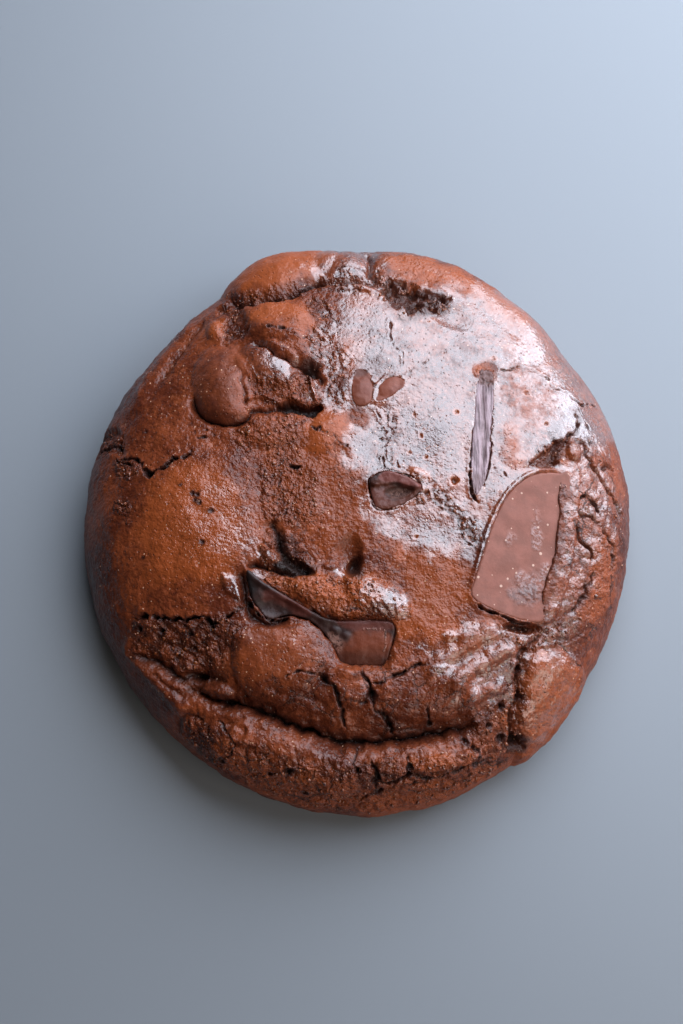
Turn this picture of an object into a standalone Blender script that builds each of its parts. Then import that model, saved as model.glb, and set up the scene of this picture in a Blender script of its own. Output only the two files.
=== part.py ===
"""A thick, round brownie cookie, with pieces of broken chocolate baked into its top.

The crust is described on a map: the top and the side of the cookie rolled out flat round
the middle, with "across" running to the right and "away" to the back. Over the top a place
on the map lies straight above the same place on the table. Past the shoulder the map
follows the side down to the foot. All sizes below are in millimetres.
"""

import math

import bmesh
import bpy
import numpy as np

MM = 0.001

# The whole cookie
HEIGHT = 23.0
MEAN_RADIUS = 50.0
# Radii of the outline at equal steps, anticlockwise from the right
OUTLINE = (50.0, 50.6, 51.0, 52.9, 53.6, 52.2, 49.8, 50.0, 50.0, 50.2, 50.5, 51.6, 52.6, 52.2, 50.5, 49.6)
MIDDLE = (0.0, 0.5)  # where the middle of the table footprint lies on the map
WAIST_HEIGHT = 5.0  # height of the widest ring
FOOT_INSET = 3.0  # how far the flat base stops short of the widest ring
TOP_FLATNESS = 3.2
SHOULDER_ROUNDNESS = 2.2
SHOULDER_START = 42.0  # radius at which the map begins to follow the side
FOOT_FADE = 6.0  # the relief dies away over this distance above the base

# Grid and fits
CRUST_CELLS = 64  # cells across the crust
GAP = 0.3  # between a piece of chocolate and the crumb round it
CHUNK_BEVEL = 0.35
CUTTER_RISE = 9.0

# Swellings and hollows: middle, half sizes, turn in degrees, height, and steepness of the
# side (2 is soft, 1 is steep)
SWELLINGS = (
    ((-14.0, 48.5), (9.5, 5.5), 20, 2.4, 1.3),  # lobe on the far left of the rim
    ((0.0, 49.0), (8.0, 6.5), 0, 1.6, 1.5),  # wet lobe at the back
    ((-13.0, 36.0), (7.5, 5.5), 0, 1.7, 1.5),  # smooth lobe behind the rough lump
    ((-10.0, 31.0), (7.0, 3.4), 0, 1.4, 1.5),  # lip that overhangs the rough lump
    ((-24.7, 22.8), (6.0, 8.2), 8, 2.6, 1.3),  # smooth round bump
    ((-13.5, 24.0), (7.0, 5.6), -15, 2.2, 1.3),  # rough shiny lump
    ((-33.0, -5.0), (17.0, 15.0), 0, 1.0, 2.0),  # broad swelling of the left side
    ((-12.0, -26.5), (10.0, 6.0), 0, 1.2, 1.5),  # lobe in front of the long shard
    ((35.0, -34.0), (13.0, 7.5), 58, 1.2, 1.5),  # smooth lobe on the front right of the rim
    ((2.0, -34.5), (13.0, 4.0), 0, 0.8, 1.5),  # cracked lip over the front fold
    ((10.5, 40.8), (7.0, 3.3), -12, -3.0, 1.2),  # hollow under the back ridge
    ((-0.8, -10.2), (2.8, 4.2), -20, -3.2, 1.3),  # deep pit near the middle
    ((33.5, 9.4), (4.6, 3.2), 20, -2.6, 1.3),  # hollow behind the slab
    ((28.5, -22.4), (4.4, 2.2), -8, -2.4, 1.3),  # dark gap in front of the slab
    ((-30.0, -25.0), (12.0, 5.0), 0, -1.0, 1.5),  # sunken crumb on the front left
)

# Ridges and folds: route, half width, height
RIDGES = (
    (((5.0, 50.0), (15.0, 47.5), (25.0, 43.0), (33.0, 37.0)), 5.0, 1.6),  # back right of the rim
    (((-29.0, 34.0), (-36.0, 25.0), (-39.0, 17.0)), 4.0, 0.8),  # faint rim on the left
    (((-15.0, -12.5), (-8.0, -13.5), (-2.0, -15.0), (6.5, -17.0)), 3.2, 1.7),  # over the long shard
    (((-30.0, -39.0), (-15.0, -44.0), (0.0, -46.0), (14.0, -45.0), (24.0, -43.0)), 5.5, 1.2),  # front roll
    (((12.0, -31.0), (21.0, -26.0), (28.0, -24.5)), 3.0, 0.9),  # wet ridge on the front right
    (((-22.0, 42.5), (-17.5, 40.0), (-13.5, 41.0), (-10.0, 43.0)), 2.7, -2.6),  # cleft under the far lobe
    (((3.0, 53.0), (4.5, 47.0), (6.0, 43.0)), 2.2, -1.4),  # gully right of the wet lobe
    (((-8.0, 43.0), (-2.0, 42.5), (5.0, 43.0)), 2.0, -1.1),  # crease in front of the wet lobe
    (((-16.0, 29.0), (-12.0, 28.0), (-8.0, 26.3), (-4.5, 26.5)), 2.8, -2.2),  # shadow under the lip
    (((-19.0, 17.5), (-13.0, 16.8), (-9.0, 16.5), (-6.0, 18.5), (-7.0, 24.0)), 2.8, -2.4),  # under the lump
    (((-28.5, 18.0), (-25.0, 15.2), (-21.5, 15.2), (-20.0, 17.5)), 2.5, -1.9),  # crescent under the bump
    (((-15.0, -1.0), (-13.5, -7.0), (-9.5, -12.0)), 2.6, -2.4),  # cleft left of the middle
    (((-39.0, -18.5), (-30.0, -20.0), (-20.0, -18.5)), 2.0, -1.7),  # rift on the front left
    (((-31.0, -31.5), (-25.0, -34.0), (-19.0, -36.0), (-12.0, -38.5), (-5.0, -41.0), (4.0, -41.0),
      (13.0, -40.0), (19.0, -40.5)), 3.2, -3.4),  # the long fold across the front
    (((30.0, -25.0), (28.0, -31.0), (26.5, -37.0), (28.0, -43.5)), 2.2, -1.7),  # gully on the front right
    (((1.0, -29.0), (2.0, -34.0), (6.0, -39.0)), 2.2, -0.9),  # crack in the lip
    (((-6.0, -31.0), (-3.0, -35.0), (-2.5, -39.0)), 2.2, -0.9),  # second crack in the lip
    (((-47.0, 13.0), (-44.0, 10.0), (-40.0, 8.0), (-37.5, 6.0), (-31.0, 9.5)), 2.3, -1.2),  # left crack
    (((38.0, 14.0), (42.0, 8.0), (47.0, 1.0)), 1.8, -0.9),  # wrinkle on the right of the rim
    (((37.5, 0.0), (39.0, -5.0), (41.5, -9.0)), 1.8, -0.9),  # wrinkle beside the slab
    (((12.5, 2.0), (16.5, -0.5), (20.5, -3.0)), 1.6, -0.6),  # crease from the wedge to the slab
)

# Pieces of chocolate: outline on the map, thickness, how far the face stands above the
# crust, and the slope of its face to the front in degrees
CHUNKS = {
    "chocolate_slab": (
        ((37.6, 6.2), (33.6, 6.3), (29.4, 4.8), (26.8, 2.4), (24.6, -1.2), (23.0, -5.0), (21.5, -9.6),
         (19.5, -16.0), (20.4, -17.4), (22.6, -18.6), (26.0, -19.9), (30.6, -20.8), (32.4, -20.2),
         (33.4, -18.0), (35.0, -14.0), (36.4, -7.0), (37.6, 0.0)), 4.5, 0.4, 0.0),
    "chocolate_shard": (
        ((-19.2, -12.6), (-18.8, -15.6), (-18.0, -18.0), (-16.2, -20.2), (-15.0, -20.7), (-11.4, -20.1),
         (-8.5, -20.9), (-6.6, -22.4), (-5.0, -24.2), (-3.2, -28.0), (-1.0, -28.6), (4.4, -28.6),
         (6.0, -25.0), (6.5, -22.4), (5.8, -21.2), (0.5, -20.8), (-3.4, -20.9), (-6.3, -20.2), (-8.8, -18.9),
         (-11.3, -17.5), (-14.0, -16.0), (-16.8, -14.3)), 3.5, -0.4, 14.0),
    "chocolate_wedge": (
        ((1.9, 4.0), (2.1, 2.6), (3.0, -0.7), (5.4, -1.1), (7.8, -0.3), (10.2, 1.3), (11.2, 2.8),
         (10.8, 3.5), (8.2, 4.7), (5.4, 5.5), (3.4, 5.0)), 3.0, 0.5, 8.0),
    "chocolate_bar": (
        ((20.6, 1.6), (21.5, 2.2), (22.4, 4.0), (23.0, 6.8), (23.5, 10.0), (24.4, 20.0), (24.4, 24.4),
         (23.5, 25.3), (21.8, 25.1), (21.2, 22.0), (20.8, 17.0), (20.2, 10.0), (20.0, 5.0)), 4.0, 0.2, 0.0),
    "chocolate_nib_left": (
        ((-1.2, 21.0), (-0.9, 18.9), (0.0, 17.9), (1.4, 17.9), (2.5, 18.8), (2.9, 20.4), (2.9, 22.2),
         (2.2, 24.2), (1.0, 25.2), (-0.4, 25.0), (-1.0, 23.4)), 3.0, 0.1, 0.0),
    "chocolate_nib_right": (
        ((3.2, 19.0), (4.0, 18.7), (5.6, 19.5), (7.2, 20.6), (8.4, 21.7), (8.4, 22.9), (6.9, 23.6),
         (5.0, 23.0), (3.6, 21.4)), 3.0, 0.25, 0.0),
}


def material(name, colour, roughness):
    """A Principled BSDF material with one colour and roughness."""
    made = bpy.data.materials.new(name)
    made.use_nodes = True
    made.diffuse_color = (*colour, 1.0)
    shader = made.node_tree.nodes["Principled BSDF"]
    shader.inputs["Base Color"].default_value = (*colour, 1.0)
    shader.inputs["Roughness"].default_value = roughness
    shader.inputs["Metallic"].default_value = 0.0
    return made


def outline_radius(angle):
    """Radius of the outline in a direction: a smooth curve through the radii of OUTLINE."""
    radii = np.array(OUTLINE)
    count = len(radii)
    place = (angle / (2 * math.pi)) % 1.0 * count
    step = np.floor(place).astype(int)
    part = place - step
    before, start, end, after = (radii[(step + k) % count] for k in (-1, 0, 1, 2))
    curve = 3 * (start - end) + after - before
    bend = 2 * before - 5 * start + 4 * end - after + part * curve
    return start + 0.5 * part * (end - before + part * bend)


def side_profile(steps=160):
    """The turned profile of an even cookie: map distance, radius and height, top to foot."""
    share = np.sin(np.linspace(0.0, math.pi / 2, steps))
    dome = (1 - share**TOP_FLATNESS) ** (1 / SHOULDER_ROUNDNESS)
    turn = np.linspace(0.0, math.pi / 2, steps // 4)[1:]
    radius = np.concatenate([MEAN_RADIUS * share, MEAN_RADIUS - FOOT_INSET * (1 - np.cos(turn))])
    side = WAIST_HEIGHT * (1 - np.sin(turn))
    height = np.concatenate([WAIST_HEIGHT + (HEIGHT - WAIST_HEIGHT) * dome, side])
    stride = np.hypot(np.diff(radius), np.diff(height))
    flat = radius[1:] <= SHOULDER_START
    distance = np.concatenate([[0.0], np.cumsum(np.where(flat, np.diff(radius), stride))])
    return distance, radius, height


PROFILE_DISTANCE, PROFILE_RADIUS, PROFILE_HEIGHT = side_profile()
REACH = PROFILE_DISTANCE[-1]  # map distance of the foot, on an even cookie


def even_surface(across, away):
    """Points of the cookie without its relief, for places on the map."""
    angle = np.arctan2(away, across)
    stretch = outline_radius(angle) / MEAN_RADIUS
    distance = np.hypot(across, away) / stretch
    radius = np.interp(distance, PROFILE_DISTANCE, PROFILE_RADIUS) * stretch
    height = np.interp(distance, PROFILE_DISTANCE, PROFILE_HEIGHT)
    return np.stack([radius * np.cos(angle), radius * np.sin(angle), height], axis=-1)


def surface_normal(across, away, reach=0.5):
    """Unit normals of the even surface, from points a short reach apart."""
    along = even_surface(across + reach, away) - even_surface(across - reach, away)
    back = even_surface(across, away + reach) - even_surface(across, away - reach)
    normal = np.cross(along, back)
    return normal / np.linalg.norm(normal, axis=-1, keepdims=True)


def swelling(across, away, middle, sizes, turn, height, steepness):
    """Height of one oval swelling, or of a hollow where its height is negative."""
    angle = math.radians(turn)
    right, back = across - middle[0], away - middle[1]
    along = (right * math.cos(angle) + back * math.sin(angle)) / sizes[0]
    aside = (back * math.cos(angle) - right * math.sin(angle)) / sizes[1]
    return height * np.clip(1 - along**2 - aside**2, 0, 1) ** steepness


def distance_to_route(across, away, route):
    """Distance from places on the map to a route through a few points."""
    nearest = np.full(np.shape(across), np.inf)
    for start, end in zip(route[:-1], route[1:]):
        step = np.subtract(end, start)
        right, back = across - start[0], away - start[1]
        share = np.clip((right * step[0] + back * step[1]) / step.dot(step), 0, 1)
        nearest = np.minimum(nearest, np.hypot(right - share * step[0], back - share * step[1]))
    return nearest


def ridge(across, away, route, half_width, height):
    """Height of one ridge along a route, or of a fold where its height is negative."""
    share = distance_to_route(across, away, route) / half_width
    return height * np.clip(1 - share**2, 0, 1) ** 1.5


def relief(across, away):
    """How far the crust stands out from the even surface."""
    raised = sum(swelling(across, away, *size) for size in SWELLINGS)
    raised = raised + sum(ridge(across, away, *size) for size in RIDGES)
    stretch = outline_radius(np.arctan2(away, across)) / MEAN_RADIUS
    above_foot = REACH - np.hypot(across, away) / stretch
    return raised * np.clip(above_foot / FOOT_FADE, 0, 1)


def on_table(points):
    """Points in metres, with the middle of the footprint at the origin."""
    return (np.asarray(points) - (*MIDDLE, 0.0)) * MM


def disc_grid(cells):
    """Places of a square grid drawn out into a round one of radius 1, row by row."""
    side = np.linspace(-1.0, 1.0, cells + 1)
    column, row = np.meshgrid(side, side)
    ring = np.maximum(np.abs(column), np.abs(row))
    wide = np.abs(column) >= np.abs(row)
    safe = np.where(ring == 0, 1.0, ring)
    turn = np.where(
        wide,
        (math.pi / 4) * row / np.where(wide, np.where(column == 0, 1.0, column), 1.0),
        math.pi / 2 - (math.pi / 4) * column / np.where(wide, 1.0, np.where(row == 0, 1.0, row)),
    )
    signed = np.where(wide, column, row) / safe * ring
    return signed * np.cos(turn), signed * np.sin(turn)


def crust_object(name, finish):
    """The cookie itself: a relief over the top and the side, closed by a flat base."""
    across, away = disc_grid(CRUST_CELLS)
    stretch = outline_radius(np.arctan2(away, across)) / MEAN_RADIUS
    across, away = (across * REACH * stretch).ravel(), (away * REACH * stretch).ravel()
    points = even_surface(across, away)
    points += surface_normal(across, away) * relief(across, away)[:, None]
    row = CRUST_CELLS + 1
    edge = ([k for k in range(row)] + [k * row + CRUST_CELLS for k in range(1, row)]
            + [row * row - 1 - k for k in range(1, row)] + [k * row for k in range(CRUST_CELLS - 1, 0, -1)])
    points[edge, 2] = 0.0
    corners = [r * row + c for r in range(CRUST_CELLS) for c in range(CRUST_CELLS)]
    faces = [(k, k + 1, k + row + 1, k + row) for k in corners]
    mesh = bpy.data.meshes.new(name)
    mesh.from_pydata(on_table(points).tolist(), [], faces + [edge[::-1]])
    mesh.shade_smooth()
    mesh.materials.append(finish)
    made = bpy.data.objects.new(name, mesh)
    bpy.context.collection.objects.link(made)
    return made


def grown(outline, by):
    """An anticlockwise outline with each side moved outwards."""
    points = np.array(outline)
    sides = np.roll(points, -1, axis=0) - points
    out = np.stack([sides[:, 1], -sides[:, 0]], axis=1) / np.linalg.norm(sides, axis=1)[:, None]
    before = np.roll(out, 1, axis=0)
    return points + by * (out + before) / (1 + np.sum(out * before, axis=1))[:, None]


def chunk_mesh(name, outline, thickness, rise, lean, grow=0.0, headroom=0.0):
    """A flat-faced piece of chocolate whose outline lies on the map, as a bmesh."""
    shape = grown(outline, grow)
    on_crust = even_surface(shape[:, 0], shape[:, 1])
    original = even_surface(*np.array(outline).T)
    middle = original.mean(axis=0)
    normal = np.linalg.svd(original - middle)[2][2]
    normal *= np.sign(normal[2])
    turn = math.radians(lean)
    normal = np.array([normal[0], normal[1] * math.cos(turn) - normal[2] * math.sin(turn),
                       normal[1] * math.sin(turn) + normal[2] * math.cos(turn)])
    fall = ((on_crust - middle) @ normal)[:, None] / normal[2]
    face = on_crust - fall * (0.0, 0.0, 1.0)
    top = face + normal * (rise + headroom)
    bottom = face + normal * (rise - thickness - grow)
    piece = bmesh.new()
    upper = [piece.verts.new(p) for p in on_table(top)]
    lower = [piece.verts.new(p) for p in on_table(bottom)]
    piece.faces.new(upper)
    piece.faces.new(lower[::-1])
    for k in range(len(upper)):
        after = (k + 1) % len(upper)
        piece.faces.new((upper[k], lower[k], lower[after], upper[after]))
    bmesh.ops.recalc_face_normals(piece, faces=piece.faces)
    return piece


def chunk_object(name, sizes, finish):
    """One piece of chocolate, its edges slightly melted."""
    piece = chunk_mesh(name, *sizes)
    bmesh.ops.bevel(piece, geom=piece.edges[:], offset=CHUNK_BEVEL * MM, segments=1, affect="EDGES")
    mesh = bpy.data.meshes.new(name)
    piece.to_mesh(mesh)
    piece.free()
    mesh.materials.append(finish)
    made = bpy.data.objects.new(name, mesh)
    bpy.context.collection.objects.link(made)
    return made


def press_in(crust, name, sizes):
    """Cuts the bed of one piece of chocolate out of the crust."""
    bed = chunk_mesh(name, *sizes, grow=GAP, headroom=CUTTER_RISE)
    mesh = bpy.data.meshes.new(name + "_bed")
    bed.to_mesh(mesh)
    bed.free()
    cutter = bpy.data.objects.new(name + "_bed", mesh)
    cutter.hide_render = True
    cutter.display_type = "WIRE"
    bpy.context.collection.objects.link(cutter)
    cut = crust.modifiers.new(name, "BOOLEAN")
    cut.operation = "DIFFERENCE"
    cut.solver = "EXACT"
    cut.object = cutter


for old in list(bpy.data.objects):
    bpy.data.objects.remove(old)

baked_dough = material("baked brownie dough", (0.19, 0.062, 0.026), 0.45)
milk_chocolate = material("milk chocolate", (0.21, 0.085, 0.05), 0.5)
dark_chocolate = material("dark chocolate", (0.05, 0.024, 0.018), 0.4)

cookie = crust_object("cookie_body", baked_dough)
for chunk, sizes in CHUNKS.items():
    chunk_object(chunk, sizes, milk_chocolate if chunk == "chocolate_slab" else dark_chocolate)
    press_in(cookie, chunk, sizes)
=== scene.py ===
"""The looks of a thick brownie cookie with broken chocolate baked into its top."""

import math

import bmesh
import bpy
import numpy as np
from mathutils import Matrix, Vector
from mathutils.geometry import delaunay_2d_cdt


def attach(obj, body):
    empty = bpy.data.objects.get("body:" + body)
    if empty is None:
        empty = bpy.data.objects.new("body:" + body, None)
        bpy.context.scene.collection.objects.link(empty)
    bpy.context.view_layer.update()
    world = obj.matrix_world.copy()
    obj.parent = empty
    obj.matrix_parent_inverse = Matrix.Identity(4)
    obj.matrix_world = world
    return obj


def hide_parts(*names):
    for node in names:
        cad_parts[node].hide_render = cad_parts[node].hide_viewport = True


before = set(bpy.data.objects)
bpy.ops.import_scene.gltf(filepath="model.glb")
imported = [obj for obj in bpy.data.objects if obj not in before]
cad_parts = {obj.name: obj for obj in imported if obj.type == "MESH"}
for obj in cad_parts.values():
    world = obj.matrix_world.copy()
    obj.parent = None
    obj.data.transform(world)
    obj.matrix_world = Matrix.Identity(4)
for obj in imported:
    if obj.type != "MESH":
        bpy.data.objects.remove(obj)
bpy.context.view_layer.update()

# ---------------------------------------------------------------- the baked crust
# Thick brownie dough slumps into a flat dome with a round shoulder. Its sugar dries to a
# thin glossy skin while the crumb still rises, so the skin swells in lobes, folds where
# they meet and tears where it stretches. Places are on a map, in mm: the top and side
# rolled out flat round the middle, "across" to the right and "away" to the back.

MM = 0.001
HEIGHT = 23.0
MEAN_RADIUS = 50.0
OUTLINE = (50.0, 50.6, 51.0, 52.9, 53.6, 52.2, 49.8, 50.0, 50.0, 50.2, 50.5, 51.6, 52.6, 52.2, 50.5, 49.6)
MIDDLE = (0.0, 0.5)
WAIST_HEIGHT = 5.0
FOOT_INSET = 3.0
TOP_FLATNESS = 3.2
SHOULDER_ROUNDNESS = 2.2
SHOULDER_START = 42.0
FOOT_FADE = 3.0
CRUST_CELLS = 660
CRUST_TRIANGLES = 196000


def outline_radius(angle):
    """Radius of the outline in a direction: a smooth curve through the radii of OUTLINE."""
    radii = np.array(OUTLINE)
    count = len(radii)
    place = (angle / (2 * math.pi)) % 1.0 * count
    step = np.floor(place).astype(int)
    part = place - step
    before, start, end, after = (radii[(step + k) % count] for k in (-1, 0, 1, 2))
    curve = 3 * (start - end) + after - before
    bend = 2 * before - 5 * start + 4 * end - after + part * curve
    return start + 0.5 * part * (end - before + part * bend)


def side_profile(steps=400):
    """The turned profile of an even cookie: map distance, radius and height, top to foot."""
    share = np.sin(np.linspace(0.0, math.pi / 2, steps))
    dome = (1 - share**TOP_FLATNESS) ** (1 / SHOULDER_ROUNDNESS)
    turn = np.linspace(0.0, math.pi / 2, steps // 4)[1:]
    radius = np.concatenate([MEAN_RADIUS * share, MEAN_RADIUS - FOOT_INSET * (1 - np.cos(turn))])
    above = WAIST_HEIGHT + (HEIGHT - WAIST_HEIGHT) * dome
    height = np.concatenate([above, WAIST_HEIGHT * (1 - np.sin(turn))])
    stride = np.hypot(np.diff(radius), np.diff(height))
    flat = radius[1:] <= SHOULDER_START
    distance = np.concatenate([[0.0], np.cumsum(np.where(flat, np.diff(radius), stride))])
    return distance, radius, height


PROFILE = side_profile()
REACH = PROFILE[0][-1]


def even_surface(across, away):
    """Points of the cookie without its relief, in mm, for places on the map."""
    angle = np.arctan2(away, across)
    stretch = outline_radius(angle) / MEAN_RADIUS
    distance = np.hypot(across, away) / stretch
    radius = np.interp(distance, PROFILE[0], PROFILE[1]) * stretch
    height = np.interp(distance, PROFILE[0], PROFILE[2])
    return np.stack([radius * np.cos(angle), radius * np.sin(angle), height], axis=-1)


def surface_axes(across, away, step=0.4):
    """Unit directions across, away and out of the even surface."""
    right = even_surface(across + step, away) - even_surface(across - step, away)
    back = even_surface(across, away + step) - even_surface(across, away - step)
    out = np.cross(right, back)
    return tuple(v / np.linalg.norm(v, axis=-1, keepdims=True) for v in (right, back, out))


def disc_grid(cells):
    """Places of a square grid drawn out into a round one of radius 1, row by row."""
    side = np.linspace(-1.0, 1.0, cells + 1)
    column, row = np.meshgrid(side, side)
    ring = np.maximum(np.abs(column), np.abs(row))
    wide = np.abs(column) >= np.abs(row)
    slope = np.where(
        wide,
        row / np.where(wide & (column != 0), column, 1.0),
        column / np.where(~wide, row, 1.0),
    )
    turn = np.where(wide, slope, 2 - slope) * math.pi / 4
    signed = np.where(wide, np.sign(column), np.sign(row)) * ring
    return (signed * np.cos(turn)).ravel(), (signed * np.sin(turn)).ravel()


def chance(key):
    """A number between 0 and 1 that looks random but is the same for the same key."""
    return (np.sin(key) * 43758.5453) % 1.0


def grain(right, back, size, seed):
    """Smooth random relief between about -1 and 1, with bumps about one size apart."""
    column, row = np.floor(right / size), np.floor(back / size)
    right, back = right / size - column, back / size - row
    ease = [t**3 * (t * (6 * t - 15) + 10) for t in (right, back)]
    corners = []
    for i, j in ((0, 0), (1, 0), (0, 1), (1, 1)):
        turn = chance((column + i) * 127.1 + (row + j) * 311.7 + seed * 74.7) * 2 * math.pi
        corners.append(np.cos(turn) * (right - i) + np.sin(turn) * (back - j))
    front = corners[0] + (corners[1] - corners[0]) * ease[0]
    rear = corners[2] + (corners[3] - corners[2]) * ease[0]
    return (front + (rear - front) * ease[1]) * 1.5


def rough(right, back, size, seed, octaves=3):
    """Grain of several sizes, each half as large and half as high as the last."""
    return sum(grain(right, back, size / 2**k, seed + 7 * k) / 2**k for k in range(octaves))


def cell_edges(right, back, size, seed):
    """Distance from the nearest edge of a cracked-mud pattern, in shares of a cell."""
    column, row = np.floor(right / size), np.floor(back / size)
    right, back = right / size - column, back / size - row
    nearest, second = np.full(len(right), 9.0), np.full(len(right), 9.0)
    for i in (-1, 0, 1):
        for j in (-1, 0, 1):
            key = (column + i) * 127.1 + (row + j) * 311.7 + seed * 31.3
            gap = np.hypot(i + chance(key) - right, j + chance(key + 17.1) - back)
            second = np.minimum(second, np.maximum(nearest, gap))
            nearest = np.minimum(nearest, gap)
    return second - nearest


def places(text):
    """Places on the map, in mm, from a text such as "12,-3.5 14,-2": across and away."""
    return np.array([pair.split(",") for pair in text.split()], float)


def smooth_route(points, closed=False, spacing=0.6):
    """Points close together on a smooth curve through a few places."""
    if closed:
        points = np.vstack([points[-1:], points, points[:2]])
    else:
        points = np.vstack([2 * points[0] - points[1], points, 2 * points[-1] - points[-2]])
    curve = []
    for before, start, end, after in zip(points, points[1:], points[2:], points[3:]):
        count = max(2, round(math.dist(start, end) / spacing))
        part = np.linspace(0, 1, count, endpoint=False)[:, None]
        bend = 2 * before - 5 * start + 4 * end - after + part * (3 * (start - end) + after - before)
        curve.append(start + 0.5 * part * (end - before + part * bend))
    return np.vstack([*curve, points[-2:-1]])


def bulge(share):
    """A round shoulder: 0 at the edge, rising steeply, level from a share of 1."""
    return np.sqrt(np.clip(1 - (1 - np.clip(share, 0, 1)) ** 2, 0, 1))


def soft_step(share):
    """0 below 0, 1 above 1, and smooth between."""
    share = np.clip(share, 0, 1)
    return share * share * (3 - 2 * share)


class Skin:
    """Places on the map with the relief that stands on them, marks for their finish, and painted shade."""

    def __init__(self, across, away):
        self.across, self.away = across, away
        self.height = np.zeros(len(across))  # how far it stands out
        self.slide = np.zeros((len(across), 2))  # how far it is pushed sideways
        # The hollow mark is painted shade in deep places; the crumb mark is moist crumb colour, and painted
        # shade where creases and depth set it
        kinds = ("crumb", "gold", "shine", "hollow", "grit", "crazed")
        self.marks = {kind: np.zeros(len(across)) for kind in kinds}

    def mark(self, kind, who, amount):
        """Raises a mark to an amount, where it isn't higher already."""
        self.marks[kind][who] = np.maximum(self.marks[kind][who], amount)

    def near(self, spots, margin):
        """Vertices in the upright box round some places."""
        low, high = np.min(spots, axis=0) - margin, np.max(spots, axis=0) + margin
        x, y = self.across, self.away
        return np.flatnonzero((x > low[0]) & (x < high[0]) & (y > low[1]) & (y < high[1]))

    def measure(self, route, reach, wander=0.0, seed=1, closed=False):
        """Vertices near a route, and for each: its distance, positive on the route's left
        or inside a closed one, the direction away from there, and its share of the route."""
        curve = smooth_route(places(route), closed)
        who = self.near(curve, reach + wander)
        right, back = self.across[who], self.away[who]
        if wander:
            shift = [wander * rough(right, back, 2.2, seed + k, 5) for k in (0, 50)]
            right, back = right + shift[0], back + shift[1]
        best, share = np.full(len(who), np.inf), np.zeros(len(who))
        side, facing = np.ones(len(who)), np.zeros((len(who), 2))
        inside = np.zeros(len(who), bool)
        for k, (start, end) in enumerate(zip(curve[:-1], curve[1:])):
            step = end - start
            off = right - start[0], back - start[1]
            length = math.hypot(*step)
            part = np.clip((off[0] * step[0] + off[1] * step[1]) / length**2, 0, 1)
            gap = np.hypot(off[0] - part * step[0], off[1] - part * step[1])
            closer = gap < best
            best = np.where(closer, gap, best)
            share = np.where(closer, (k + part) / (len(curve) - 1), share)
            side = np.where(closer, np.where(step[0] * off[1] < step[1] * off[0], -1.0, 1.0), side)
            facing[closer] = (step[1] / length, -step[0] / length)
            if closed and step[1]:
                crosses = (start[1] > back) != (end[1] > back)
                inside ^= crosses & (right < start[0] + (back - start[1]) * step[0] / step[1])
        if closed:
            side = np.where(inside, 1.0, -1.0)
        keep = (best < reach) | inside
        return who[keep], (best * side)[keep], facing[keep], share[keep]

    def swell(self, middle, sizes, turn, rise, steepness=1.5):
        """Raises an oval lobe, or sinks an oval dip where its rise is negative."""
        who = self.near([middle], max(sizes))
        angle = math.radians(turn)
        right, back = self.across[who] - middle[0], self.away[who] - middle[1]
        along = (right * math.cos(angle) + back * math.sin(angle)) / sizes[0]
        aside = (back * math.cos(angle) - right * math.sin(angle)) / sizes[1]
        self.height[who] += rise * np.clip(1 - along**2 - aside**2, 0, 1) ** steepness

    def lobe(self, outline, rise, shoulder, lean=0.0, wander=0.3, seed=1):
        """Raises a bun-like lobe with a steep edge, which leans out over what is round it."""
        who, inside, facing, _ = self.measure(outline, 2 * abs(lean) + 0.1, wander, seed, True)
        self.height[who] += rise * bulge(inside / shoulder)
        if lean:
            edge = np.exp(-(((inside - 0.5 * lean) / lean) ** 2))
            self.slide[who] += facing * (lean * edge)[:, None]

    def ridge(self, route, half_width, rise, ends=0.15, wander=0.0, seed=1):
        """Raises a rounded ridge along a route."""
        who, gap, _, share = self.measure(route, half_width, wander, seed)
        fade = np.clip(np.minimum(share, 1 - share) / ends, 0, 1) ** 0.6
        self.height[who] += rise * np.clip(1 - (gap / half_width) ** 2, 0, 1) ** 1.5 * fade

    def fold(self, route, widths, depth, sharp=1.7, lean=0.0, dark=0.5, wander=0.4, seed=1, ends=0.12):
        """Sinks a creased valley, as wide on each side of the route as widths says, left
        first. With a lean, the lobe on the left hangs over the crease."""
        reach = max(widths)
        who, gap, facing, share = self.measure(route, reach, wander, seed)
        fade = np.clip(np.minimum(share, 1 - share) / ends, 0, 1) ** 0.6
        width = np.where(gap > 0, *widths)
        close = np.clip(1 - np.abs(gap) / width, 0, 1)
        self.height[who] -= depth * close**sharp * fade
        # Painted shade in the crease and along its sides, as hollow and crumb marks, as strong as dark says
        self.mark("hollow", who, dark * fade * np.exp(-((gap / (0.22 * width)) ** 2)))
        self.mark("crumb", who, dark * fade * np.exp(-((gap / (0.5 * width)) ** 2)))
        lip = np.exp(-(((gap - 0.35 * width) / (0.4 * width)) ** 2))
        self.slide[who] += facing * (lean * fade * lip)[:, None]

    def tear(self, route, half_width, depth, wander=0.5, seed=1, gape=0.75, lip=0.12, dark=1.0):
        """Opens a ragged crack: uneven in width, closed in places, its lips curled up."""
        who, gap, _, share = self.measure(route, 4 * half_width + 0.3, wander, seed)
        gap = np.abs(gap)
        uneven = 0.5 + 0.5 * rough(self.across[who], self.away[who], 1.4, seed + 3, 3)
        fade = np.clip(np.minimum(share, 1 - share) / 0.12, 0, 1) ** 0.6
        width = 0.55 * half_width * fade * np.clip((uneven - 1 + gape) / (gape * 0.5), 0.12, 1.8)
        inside = np.clip(1.15 - gap / np.maximum(width, 0.02), 0, 1)
        strength = np.clip(width / half_width, 0, 1.2)
        self.height[who] -= depth * soft_step(inside * 1.6) * strength
        self.height[who] += lip * np.exp(-(((gap - width - 0.25) / (0.5 * half_width + 0.15)) ** 2)) * fade
        # Painted shade inside the crack and along it, as hollow and crumb marks
        self.mark("hollow", who, dark * np.clip(inside * 2.0, 0, 1) * np.clip(strength * 1.3, 0, 1))
        self.mark("crumb", who, dark * soft_step(2 - gap / np.maximum(width, 0.02)) * fade)

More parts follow.
